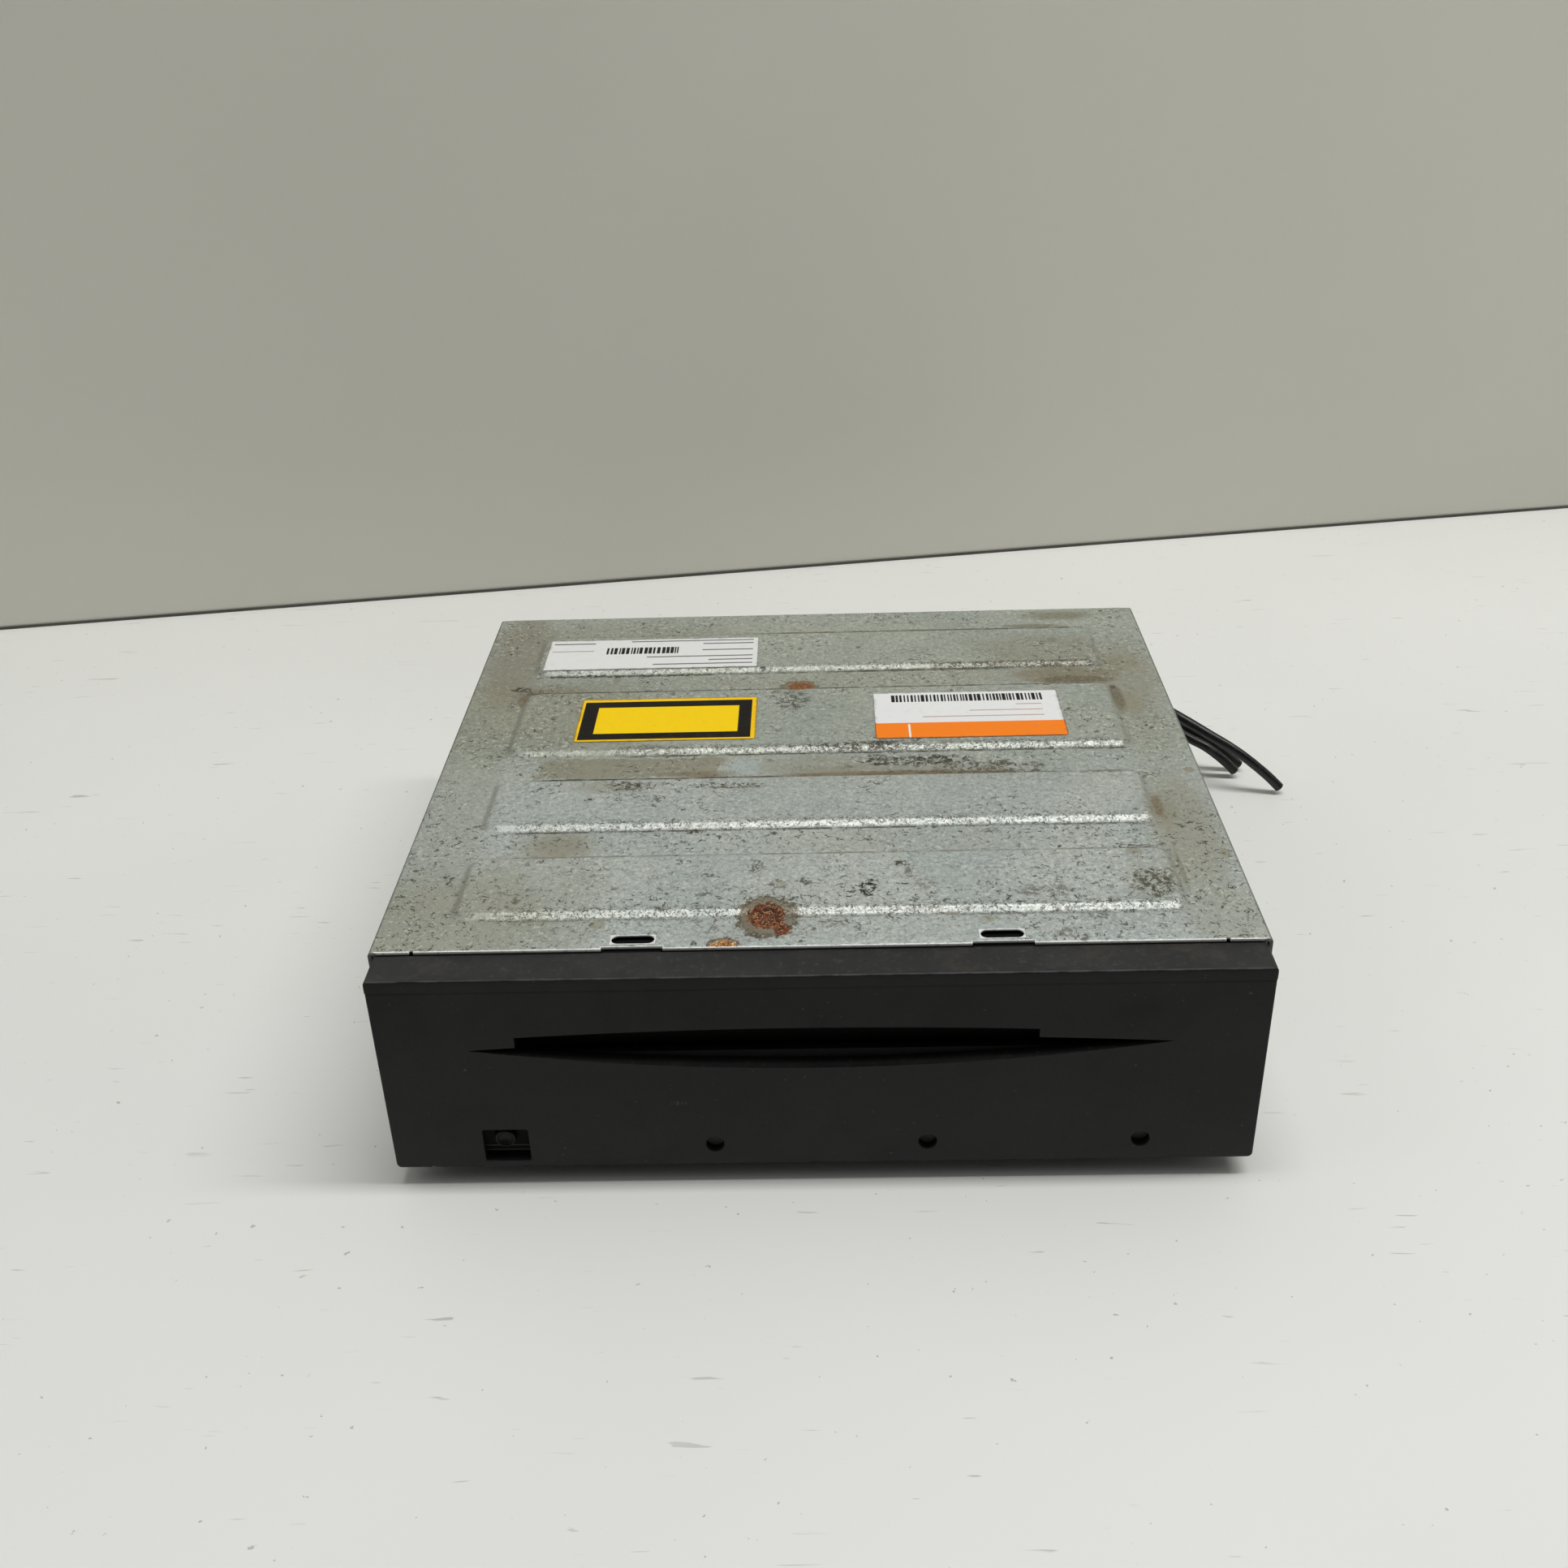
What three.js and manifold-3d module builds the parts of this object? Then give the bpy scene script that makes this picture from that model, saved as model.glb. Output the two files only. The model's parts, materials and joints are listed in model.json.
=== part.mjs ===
// A slot-loading disc player for a car, about one DIN space in size.
// Units are millimetres. X is to the right, Y to the rear and Z up, seen from the front.
// The origin is at the middle of the footprint, on the surface that the feet stand on.

import * as THREE from 'three';
import { mergeVertices } from 'three/addons/utils/BufferGeometryUtils.js';
import Module from 'manifold-3d';

const wasm = await Module();
wasm.setup();

// Driving dimensions
const bezelWidth = 180;
const bezelHeight = 48.6;
const bezelDepth = 8.66;
const bezelWall = 2;
const bandProud = 0.3;
const coverProud = 0.9;
const coverWidth = bezelWidth + 2 * coverProud;
const coverDepth = 166.1;
const sheet = 0.8;
const footHeight = 4.5;
const rearReach = 3.6;
const discPlane = 35.5;
const discThickness = 1.2;

// Clearances
const gap = 0.3;
const runningGap = 0.15;
const overrun = 1;

// Where the main faces lie
const overallDepth = bandProud + bezelDepth + coverDepth + rearReach;
const frontY = -overallDepth / 2 + bandProud;
const bezelBackY = frontY + bezelDepth;
const coverRearY = bezelBackY + coverDepth;
const bezelBottom = footHeight;
const bezelTop = bezelBottom + bezelHeight;
const coverUnder = bezelTop;
const coverTop = coverUnder + sheet;
const discUnder = discPlane - discThickness / 2;
const bezelHalf = bezelWidth / 2;
const coverHalf = coverWidth / 2;

// Colours and finishes
const blackPlastic = new THREE.MeshStandardMaterial({ color: 0x232324, roughness: 0.6, metalness: 0 });
const darkPlastic = new THREE.MeshStandardMaterial({ color: 0x131314, roughness: 0.7, metalness: 0 });
const greyPlastic = new THREE.MeshStandardMaterial({ color: 0x4a4b4d, roughness: 0.6, metalness: 0 });
const whitePlastic = new THREE.MeshStandardMaterial({ color: 0xe6e4da, roughness: 0.5, metalness: 0 });
const galvanised = new THREE.MeshStandardMaterial({ color: 0x93a0a0, roughness: 0.45, metalness: 0.8 });
const platedSteel = new THREE.MeshStandardMaterial({ color: 0xa9adb0, roughness: 0.35, metalness: 0.9 });
const brightSteel = new THREE.MeshStandardMaterial({ color: 0xc2c5c8, roughness: 0.2, metalness: 1 });
const blackRubber = new THREE.MeshStandardMaterial({ color: 0x1a1a1a, roughness: 0.85, metalness: 0 });
const boardGreen = new THREE.MeshStandardMaterial({ color: 0x1f5a38, roughness: 0.5, metalness: 0 });
const flexOrange = new THREE.MeshStandardMaterial({ color: 0xa8642a, roughness: 0.4, metalness: 0 });
const lensGlass = new THREE.MeshStandardMaterial({ color: 0x3d4f78, roughness: 0.05, metalness: 0 });

// Turns a closed geometry into a solid that can be joined and cut.
function solidOf(geometry) {
  const bare = geometry.index ? geometry.toNonIndexed() : geometry.clone();
  for (const name of Object.keys(bare.attributes)) {
    if (name !== 'position') {
      bare.deleteAttribute(name);
    }
  }
  const merged = mergeVertices(bare);
  const mesh = new wasm.Mesh({
    numProp: 3,
    vertProperties: new Float32Array(merged.attributes.position.array),
    triVerts: new Uint32Array(merged.index.array),
  });
  return new wasm.Manifold(mesh);
}

// Turns a solid back into a geometry.
function geometryOf(solid) {
  const mesh = solid.getMesh();
  const geometry = new THREE.BufferGeometry();
  geometry.setAttribute('position', new THREE.BufferAttribute(mesh.vertProperties, 3));
  geometry.setIndex(new THREE.BufferAttribute(mesh.triVerts, 1));
  geometry.computeVertexNormals();
  return geometry;
}

// A box between two corners.
function block([x0, y0, z0], [x1, y1, z1]) {
  const geometry = new THREE.BoxGeometry(x1 - x0, y1 - y0, z1 - z0);
  geometry.translate((x0 + x1) / 2, (y0 + y1) / 2, (z0 + z1) / 2);
  return solidOf(geometry);
}

// Round bars along each axis, from one end to the other, at a centre in the other two axes.
const roundSides = 20;
const fewSides = 12;

function barX(radius, from, to, y, z, sides = roundSides, endRadius = radius) {
  const geometry = new THREE.CylinderGeometry(radius, endRadius, to - from, sides);
  geometry.rotateZ(Math.PI / 2);
  geometry.translate((from + to) / 2, y, z);
  return solidOf(geometry);
}

function barY(radius, from, to, x, z, sides = roundSides, endRadius = radius) {
  const geometry = new THREE.CylinderGeometry(endRadius, radius, to - from, sides);
  geometry.translate(x, (from + to) / 2, z);
  return solidOf(geometry);
}

function barZ(radius, from, to, x, y, sides = roundSides, endRadius = radius) {
  const geometry = new THREE.CylinderGeometry(endRadius, radius, to - from, sides);
  geometry.rotateX(Math.PI / 2);
  geometry.translate(x, y, (from + to) / 2);
  return solidOf(geometry);
}

// A flat outline of [x, z] points, given its thickness along Y.
function slabY(outline, from, to) {
  const rings = [from, to].map((y) => outline.map(([x, z]) => [x, y, z]));
  return loft(rings);
}

// A flat outline of [x, y] points, given its thickness along Z.
function slabZ(outline, from, to) {
  const rings = [from, to].map((z) => outline.map(([x, y]) => [x, y, z]));
  return loft(rings);
}

// A flat outline of [y, z] points, given its thickness along X.
function slabX(outline, from, to) {
  const rings = [from, to].map((x) => outline.map(([y, z]) => [x, y, z]));
  return loft(rings);
}

// Joins rings of equally many points into one closed skin, with flat ends.
function loft(rings) {
  const count = rings[0].length;
  const points = rings.flat().map((point) => new THREE.Vector3(...point));
  const last = (rings.length - 1) * count;
  const faces = [];
  for (let ring = 0; ring + 1 < rings.length; ring += 1) {
    for (let k = 0; k < count; k += 1) {
      const a = ring * count + k;
      const b = ring * count + ((k + 1) % count);
      faces.push([a, b, b + count], [a, b + count, a + count]);
    }
  }
  const flat = flattened(rings[0]);
  const winding = Math.sign(THREE.ShapeUtils.area(flat));
  for (const triangle of THREE.ShapeUtils.triangulateShape(flat, [])) {
    const same = Math.sign(THREE.ShapeUtils.area(triangle.map((k) => flat[k]))) === winding;
    const [i, j, k] = same ? triangle : [...triangle].reverse();
    faces.push([i, k, j], [last + i, last + j, last + k]);
  }
  const volume = faces.reduce((sum, [i, j, k]) => (
    sum + points[i].dot(new THREE.Vector3().crossVectors(points[j], points[k]))
  ), 0);
  const outward = volume > 0 ? faces : faces.map(([i, j, k]) => [i, k, j]);
  const geometry = new THREE.BufferGeometry();
  geometry.setFromPoints(outward.flat().map((k) => points[k]));
  return solidOf(geometry);
}

// Drops the axis along which a ring is flat.
function flattened(ring) {
  const spans = [0, 1, 2].map((axis) => {
    const values = ring.map((point) => point[axis]);
    return Math.max(...values) - Math.min(...values);
  });
  const thin = spans.indexOf(Math.min(...spans));
  const kept = [0, 1, 2].filter((axis) => axis !== thin);
  return ring.map((point) => new THREE.Vector2(point[kept[0]], point[kept[1]]));
}

// A rectangle with round corners, as [u, v] points.
const cornerSteps = 4;
const fewCornerSteps = 3;

function roundedRectangle(u0, u1, v0, v1, radius, steps = cornerSteps) {
  const centres = [
    [u1 - radius, v1 - radius, 0],
    [u0 + radius, v1 - radius, 1],
    [u0 + radius, v0 + radius, 2],
    [u1 - radius, v0 + radius, 3],
  ];
  const outline = [];
  for (const [u, v, quarter] of centres) {
    for (let step = 0; step <= steps; step += 1) {
      const angle = (Math.PI / 2) * (quarter + step / steps);
      outline.push([u + radius * Math.cos(angle), v + radius * Math.sin(angle)]);
    }
  }
  return outline;
}

// A ring of points on a circle, as [u, v] points.
function circleOutline(u, v, radius, sides = roundSides) {
  const outline = [];
  for (let side = 0; side < sides; side += 1) {
    const angle = (2 * Math.PI * side) / sides;
    outline.push([u + radius * Math.cos(angle), v + radius * Math.sin(angle)]);
  }
  return outline;
}

// A turned profile of [radius, height] points, revolved about an upright axis.
function turning(profile, x, y, sides = roundSides) {
  const geometry = new THREE.LatheGeometry(profile.map(([r, z]) => new THREE.Vector2(r, z)), sides);
  geometry.rotateX(Math.PI / 2);
  geometry.translate(x, y, 0);
  return solidOf(geometry);
}

function joined(...solids) {
  return solids.reduce((whole, piece) => whole.add(piece));
}

function cut(solid, ...tools) {
  return tools.reduce((whole, tool) => whole.subtract(tool), solid);
}

const model = new THREE.Group();

function add(name, solid, material) {
  const mesh = new THREE.Mesh(geometryOf(solid), material);
  mesh.name = name;
  model.add(mesh);
  return mesh;
}

// Front bezel: a moulded tray with a proud band along its top edge, clip tongues that
// reach under the cover, and a lens slot whose upper edge is raised by a shallow step.
const bezelCorner = 1;
const edgeEase = 0.5;
const bandHeight = 2.8;
const slotTipInset = 18.7;
const slotTipX = bezelHalf - slotTipInset;
const slotTipLift = 31;
const slotTipZ = bezelBottom + slotTipLift;
const slotLowSag = 4.6;
const slotHighRise = 2;
const slotStepLeftInset = 28.5;
const slotStepRightInset = 45.8;
const slotStepLeft = -bezelHalf + slotStepLeftInset;
const slotStepRight = bezelHalf - slotStepRightInset;
const slotStepMiddle = -5;
const slotStepRise = 4.35;
const slotStepTop = slotTipZ + slotStepRise;
const slotStepRadius = 1070;
const slotLip = 0.9;
const windowInset = 19.2;
const windowWidth = 9.6;
const windowLift = 1.8;
const windowHeight = 8.25;
const windowLeft = -bezelHalf + windowInset;
const windowRight = windowLeft + windowWidth;
const windowLow = bezelBottom + windowLift;
const windowHigh = windowLow + windowHeight;
const plungerSetIn = 4.5;
const plungerLift = 7;
const plungerX = windowLeft + plungerSetIn;
const plungerZ = bezelBottom + plungerLift;
const holeRadius = 1.9;
const holeLift = 5.5;
const holeSides = 16;
const holeZ = bezelBottom + holeLift;
const holeSpacing = 44.3;
const clipInset = 53.5;
const clipX = coverHalf - clipInset;
const tongueWidth = 12;
const tongueDepth = 7;
const tongueThickness = 0.9;
const notchWidth = 12.5;
const notchDepth = 0.8;
const clipSlotWidth = 8.8;
const clipSlotLength = 2.5;
const clipSlotSetback = 3.2;
const nubRise = 0.4;

function slotOutline(lip) {
  const lowerSteps = 20;
  const upperSteps = 5;
  const stepSteps = 12;
  const outline = [];
  const parabola = (x) => 1 - (x / slotTipX) ** 2;
  for (let step = 0; step <= lowerSteps; step += 1) {
    const x = slotTipX * ((2 * step) / lowerSteps - 1);
    outline.push([x, slotTipZ - (slotLowSag + lip) * parabola(x)]);
  }
  for (let step = 1; step <= upperSteps; step += 1) {
    const x = slotTipX + (slotStepRight - slotTipX) * (step / upperSteps);
    outline.push([x, slotTipZ + slotHighRise * parabola(x)]);
  }
  for (let step = 0; step <= stepSteps; step += 1) {
    const x = slotStepRight + (slotStepLeft - slotStepRight) * (step / stepSteps);
    outline.push([x, slotStepTop - (x - slotStepMiddle) ** 2 / (2 * slotStepRadius)]);
  }
  for (let step = 0; step < upperSteps; step += 1) {
    const x = slotStepLeft + (-slotTipX - slotStepLeft) * (step / upperSteps);
    outline.push([x, slotTipZ + slotHighRise * parabola(x)]);
  }
  return outline;
}

function frontBezel() {
  const half = bezelHalf;
  const outer = (inset) => roundedRectangle(
    -half + inset, half - inset, bezelBottom + inset, bezelTop - inset, bezelCorner,
  );
  const ring = (inset, y) => outer(inset).map(([x, z]) => [x, y, z]);
  const shell = loft([ring(edgeEase, frontY), ring(0, frontY + edgeEase), ring(0, bezelBackY)]);
  const band = block(
    [-half + edgeEase, frontY - bandProud, bezelTop - bandHeight],
    [half - edgeEase, frontY + edgeEase, bezelTop - edgeEase],
  );
  const cavity = block(
    [-half + bezelWall, frontY + bezelWall, bezelBottom + bezelWall],
    [half - bezelWall, bezelBackY + overrun, bezelTop - bezelWall],
  );
  const slotWall = slabY(slotOutline(0), frontY - overrun, frontY + bezelWall + overrun);
  const bevelRing = (lip, y) => slotOutline(lip).map(([x, z]) => [x, y, z]);
  const slotBevel = loft([
    bevelRing(2 * slotLip, frontY - slotLip),
    bevelRing(0, frontY + slotLip),
  ]);
  const window = block(
    [windowLeft, frontY - overrun, windowLow],
    [windowRight, frontY + bezelWall + overrun, windowHigh],
  );
  const firstHole = -holeSpacing / 2;
  const holes = [firstHole, firstHole + holeSpacing, firstHole + 2 * holeSpacing].map((x) => (
    barY(holeRadius, frontY - overrun, frontY + bezelWall + overrun, x, holeZ, holeSides)
  ));
  let body = cut(joined(shell, band), cavity, slotWall, slotBevel, window, ...holes);
  for (const side of [-1, 1]) {
    const middle = side * clipX;
    const tongueTop = coverUnder - gap;
    const nubFrontY = bezelBackY + clipSlotSetback + gap;
    body = joined(
      body,
      block(
        [middle - tongueWidth / 2, bezelBackY - bezelWall, tongueTop - tongueThickness],
        [middle + tongueWidth / 2, bezelBackY + tongueDepth, tongueTop],
      ),
      block(
        [middle - tongueWidth / 2, bezelBackY - bezelWall, tongueTop - tongueThickness],
        [middle + tongueWidth / 2, bezelBackY + notchDepth - gap, coverTop - gap],
      ),
      block(
        [middle - clipSlotWidth / 2 + gap, nubFrontY, tongueTop - tongueThickness],
        [middle + clipSlotWidth / 2 - gap, nubFrontY + clipSlotLength - 2 * gap, tongueTop + nubRise],
      ),
    );
  }
  return body;
}

add('front_bezel', frontBezel(), blackPlastic);

// Top cover: one galvanised sheet, folded down at both sides and the rear, with four
// raised panels pressed into it to keep it from drumming.
const panelLeftInset = 14.4;
const panelRightInset = 13.9;
const panelLeft = -coverHalf + panelLeftInset;
const panelRight = coverHalf - panelRightInset;
const panelRise = 0.9;
const panelSlope = 2;
const panelCorner = 4.5;
const panelPlaces = {
  first: [11.2, 35.3],
  second: [47.1, 70.3],
  third: [82.8, 117.5],
  fourth: [127.8, 152.3],
};
const flangeDrop = 14;
const rearFlangeDrop = 9;
const rearFlangeInset = 3.4;
const rearFlangeHalf = coverHalf - rearFlangeInset;
const foldEase = 0.5;
const nickInset = 8.9;
const nickX = coverHalf - nickInset;
const nickSize = 0.9;
const screwRadius = 1.5;
const screwSetback = 8;
const sideScrewPlaces = { front: -62, rear: 70 };
const rearScrewInset = 28.9;
const rearScrewX = coverHalf - rearScrewInset;
const sideScrewZ = coverUnder - screwSetback;
const rearScrewZ = coverTop - rearFlangeDrop / 2;

function pressedPanel([near, far], base, shrink) {
  const y0 = bezelBackY + near;
  const y1 = bezelBackY + far;
  const ring = (inset, z) => roundedRectangle(
    panelLeft + inset, panelRight - inset, y0 + inset, y1 - inset, panelCorner,
  ).map(([x, y]) => [x, y, z]);
  return loft([
    ring(shrink, base - sheet / 2),
    ring(shrink, base),
    ring(shrink + panelSlope, base + panelRise),
  ]);
}

function topCover() {
  const half = coverHalf;
  const low = coverUnder - flangeDrop;
  const outline = (inset, foot) => [
    [-half + inset, foot],
    [-half + inset, coverTop - foldEase - inset],
    [-half + foldEase + inset, coverTop - inset],
    [half - foldEase - inset, coverTop - inset],
    [half - inset, coverTop - foldEase - inset],
    [half - inset, foot],
  ];
  const outer = slabY(outline(0, low), bezelBackY, coverRearY);
  const hollow = slabY(outline(sheet, low - overrun), bezelBackY - overrun, coverRearY + overrun);
  const rearFlange = joined(
    block(
      [-rearFlangeHalf, coverRearY - sheet, coverUnder],
      [rearFlangeHalf, coverRearY + sheet, coverTop],
    ),
    block(
      [-rearFlangeHalf, coverRearY, coverTop - rearFlangeDrop],
      [rearFlangeHalf, coverRearY + sheet, coverTop],
    ),
  );
  let body = joined(cut(outer, hollow), rearFlange);
  for (const place of Object.values(panelPlaces)) {
    body = joined(body, pressedPanel(place, coverTop, 0));
    body = cut(body, pressedPanel(place, coverUnder, sheet / 2));
  }
  for (const side of [-1, 1]) {
    const slotNear = bezelBackY + clipSlotSetback;
    const slot = roundedRectangle(
      side * clipX - clipSlotWidth / 2, side * clipX + clipSlotWidth / 2,
      slotNear, slotNear + clipSlotLength, clipSlotLength / 2,
    );
    const notch = block(
      [side * clipX - notchWidth / 2, bezelBackY - overrun, coverUnder - overrun],
      [side * clipX + notchWidth / 2, bezelBackY + notchDepth, coverTop + overrun],
    );
    const nick = block(
      [side * nickX - nickSize / 2, bezelBackY - overrun, coverUnder - overrun],
      [side * nickX + nickSize / 2, bezelBackY + nickSize, coverTop + overrun],
    );
    body = cut(body, slabZ(slot, coverUnder - overrun, coverTop + overrun), notch, nick);
    body = cut(body, barY(
      screwRadius + runningGap, coverRearY - overrun, coverRearY + sheet + overrun,
      side * rearScrewX, rearScrewZ, fewSides,
    ));
  }
  for (const y of Object.values(sideScrewPlaces)) {
    body = cut(
      body,
      barX(screwRadius + runningGap, -half - overrun, half + overrun, y, sideScrewZ, fewSides),
    );
  }
  return body;
}

add('top_cover', topCover(), galvanised);

// Chassis tray: folded sheet with drawn feet, posts for the dampers and for the board.
const traySheet = 1;
const trayLift = 0.5;
const trayWidth = coverWidth - 2 * sheet - 2 * gap;
const trayBottom = footHeight + trayLift;
const trayFloor = trayBottom + traySheet;
const trayTop = coverUnder - gap;
const trayFrontY = bezelBackY + gap;
const rearPanelOuterY = coverRearY - gap;
const rearPanelInnerY = rearPanelOuterY - traySheet;
const trayRearY = rearPanelInnerY - gap;
const footInset = 20.9;
const footX = coverHalf - footInset;
const footY = 60;
const footRadius = 6;
const footRootRadius = 9;
const footHoleRadius = 2;
const ventLength = 30;
const ventWidth = 3;
const ventPitch = 9;
const ventsEachSide = 2;
const boardLift = 2.5;
const boardUnder = trayFloor + boardLift;
const boardPostRadius = 3;
const boardPostInset = 24.9;
const boardPostPlaces = { x: coverHalf - boardPostInset, front: -66, rear: 70 };
const deckUnder = 25;
const deckSheet = 1.2;
const deckTop = deckUnder + deckSheet;
const damperInset = 9.4;
const damperX = coverHalf - damperInset;
const damperPlaces = { front: -46, rear: 62 };
const damperThickness = 3.7;
const damperPostRadius = 3;
const sideHoleRadius = 2.5;
const sideHoleLift = 12;

function chassisTray() {
  const half = trayWidth / 2;
  let body = joined(
    block([-half, trayFrontY, trayBottom], [half, trayRearY, trayFloor]),
    block([-half, trayFrontY, trayBottom], [-half + traySheet, trayRearY, trayTop]),
    block([half - traySheet, trayFrontY, trayBottom], [half, trayRearY, trayTop]),
  );
  const insideSheet = trayBottom + traySheet / 2;
  for (const x of [-footX, footX]) {
    for (const y of [-footY, footY]) {
      const drawn = barZ(footRadius, 0, insideSheet, x, y, roundSides, footRootRadius);
      const inside = barZ(
        footRadius - traySheet, traySheet, trayFloor + traySheet, x, y, roundSides, footRootRadius,
      );
      const footHole = barZ(footHoleRadius, -overrun, overrun + traySheet, x, y, fewSides);
      body = cut(joined(body, drawn), inside, footHole);
    }
  }
  for (const x of [-damperX, damperX]) {
    for (const y of Object.values(damperPlaces)) {
      const top = deckUnder - damperThickness - 2 * gap;
      body = joined(body, barZ(damperPostRadius, insideSheet, top, x, y, fewSides));
    }
  }
  for (const x of [-boardPostPlaces.x, boardPostPlaces.x]) {
    for (const y of [boardPostPlaces.front, boardPostPlaces.rear]) {
      const clearY = y < 0 ? y - footRootRadius : y + footRootRadius - boardPostRadius;
      body = joined(body, barZ(boardPostRadius, insideSheet, boardUnder - gap, x, clearY, fewSides));
    }
  }
  for (let vent = -ventsEachSide; vent <= ventsEachSide; vent += 1) {
    const outline = roundedRectangle(
      vent * ventPitch - ventWidth / 2, vent * ventPitch + ventWidth / 2,
      -ventLength / 2, ventLength / 2, ventWidth / 2, fewCornerSteps,
    );
    body = cut(body, slabZ(outline, trayBottom - overrun, trayFloor + overrun));
  }
  for (const y of Object.values(sideScrewPlaces)) {
    body = cut(
      body,
      barX(screwRadius + runningGap, -half - overrun, half + overrun, y, sideScrewZ, fewSides),
      barX(sideHoleRadius, -half - overrun, half + overrun, y, trayFloor + sideHoleLift, fewSides),
    );
  }
  return body;
}

add('chassis_tray', chassisTray(), platedSteel);

// Rear panel: a flat plate across the back, with its sockets, vents and cord hole.
const socketX = 20;
const socketZ = 18;
const socketRadius = 5;
const socketFlangeRadius = 7;
const connectorLeft = -52;
const connectorRight = -8;
const connectorDepth = 18;
const boardThickness = 1.6;
const boardTop = boardUnder + boardThickness;
const connectorHeight = 11;
const connectorUnder = boardTop + gap;
const connectorTop = connectorUnder + connectorHeight;
const leadDiameter = 2.8;
const leadSpacing = 4.5;
const leadInset = 21.4;
const leadX = coverHalf - leadInset;
const leadZ = 22;
const leadStagger = 2;
const grommetHalfWidth = 8.5;
const grommetHalfHeight = 5.5;
const rearVentHeight = 12;
const rearVentCount = 7;
const rearVentX = 34;

function rearPanel() {
  const half = trayWidth / 2;
  const through = [rearPanelInnerY - overrun, rearPanelOuterY + overrun];
  let body = block([-half, rearPanelInnerY, trayBottom], [half, rearPanelOuterY, trayTop]);
  body = cut(
    body,
    block(
      [connectorLeft - gap, through[0], connectorUnder - gap],
      [connectorRight + gap, through[1], connectorTop + gap],
    ),
    barY(socketRadius + gap, ...through, socketX, socketZ),
    slabY(roundedRectangle(
      leadX - grommetHalfWidth - gap, leadX + grommetHalfWidth + gap,
      leadZ - grommetHalfHeight - gap, leadZ + grommetHalfHeight + gap, grommetHalfHeight + gap,
    ), ...through),
  );
  for (const side of [-1, 1]) {
    body = cut(
      body,
      barY(screwRadius + runningGap, ...through, side * rearScrewX, rearScrewZ, fewSides),
    );
  }
  for (let vent = 0; vent < rearVentCount; vent += 1) {
    const x = rearVentX - vent * ventPitch;
    const low = deckTop + ventPitch / 2;
    const outline = roundedRectangle(
      x - ventWidth / 2, x + ventWidth / 2, low, low + rearVentHeight, ventWidth / 2, fewCornerSteps,
    );
    body = cut(body, slabY(outline, ...through));
  }
  return body;
}

add('rear_panel', rearPanel(), platedSteel);

// Screws: four through the cover's sides into the tray, two through its rear flange.
const screwHeadRadius = 3;
const screwHeadThickness = 1.6;
const screwLength = 5;
const crownShare = 0.75;

function screwSolid() {
  const profile = [
    [0, -screwLength],
    [screwRadius, -screwLength],
    [screwRadius, 0],
    [screwHeadRadius, 0],
    [screwHeadRadius, screwHeadThickness / 2],
    [screwHeadRadius * crownShare, screwHeadThickness],
    [0, screwHeadThickness],
  ];
  return turning(profile, 0, 0, fewSides);
}

function addScrew(name, place, turn) {
  const mesh = add(name, screwSolid(), brightSteel);
  mesh.position.set(...place);
  mesh.rotation.set(...turn);
}

const quarterTurn = Math.PI / 2;
const sideSeat = coverWidth / 2 + gap;
addScrew('cover_screw_1', [-sideSeat, sideScrewPlaces.front, sideScrewZ], [0, -quarterTurn, 0]);
addScrew('cover_screw_2', [-sideSeat, sideScrewPlaces.rear, sideScrewZ], [0, -quarterTurn, 0]);
addScrew('cover_screw_3', [sideSeat, sideScrewPlaces.front, sideScrewZ], [0, quarterTurn, 0]);
addScrew('cover_screw_4', [sideSeat, sideScrewPlaces.rear, sideScrewZ], [0, quarterTurn, 0]);
addScrew('cover_screw_5', [-rearScrewX, coverRearY + sheet + gap, rearScrewZ], [-quarterTurn, 0, 0]);
addScrew('cover_screw_6', [rearScrewX, coverRearY + sheet + gap, rearScrewZ], [-quarterTurn, 0, 0]);

// Main board with its chips, and the sockets that stand on it.
const boardInset = 14.9;
const boardHalfWidth = coverHalf - boardInset;
const boardFrontY = -76;
const boardRearY = 78;
const chipThickness = 1.6;
const canRadius = 4;
const canHeight = 9;
const solderDepth = 0.2;
const chipPlaces = [
  [-44, -40, 22, 22],
  [-4, -48, 14, 10],
  [-50, 20, 12, 18],
  [4, 52, 16, 12],
  [40, 40, 10, 14],
];
const canInset = 12;
const canPitch = 12;
const canX = boardHalfWidth - canInset;
const canPlaces = [[canX - canRadius / 2, 50], [canX - canPitch, 62], [canX, 62], [-canX, 40]];

function mainBoard() {
  let body = block([-boardHalfWidth, boardFrontY, boardUnder], [boardHalfWidth, boardRearY, boardTop]);
  for (const [x, y, width, depth] of chipPlaces) {
    body = joined(body, block(
      [x - width / 2, y - depth / 2, boardTop - solderDepth],
      [x + width / 2, y + depth / 2, boardTop + chipThickness],
    ));
  }
  for (const [x, y] of canPlaces) {
    body = joined(body, barZ(canRadius, boardTop - solderDepth, boardTop + canHeight, x, y, fewSides));
  }
  return body;
}

add('main_board', mainBoard(), boardGreen);

const shellWall = 1.6;
const pinSize = 0.6;
const pinPitch = 4;
const pinRows = 2;
const pinSetback = 4.8;
const rearmostY = coverRearY + rearReach;

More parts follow.
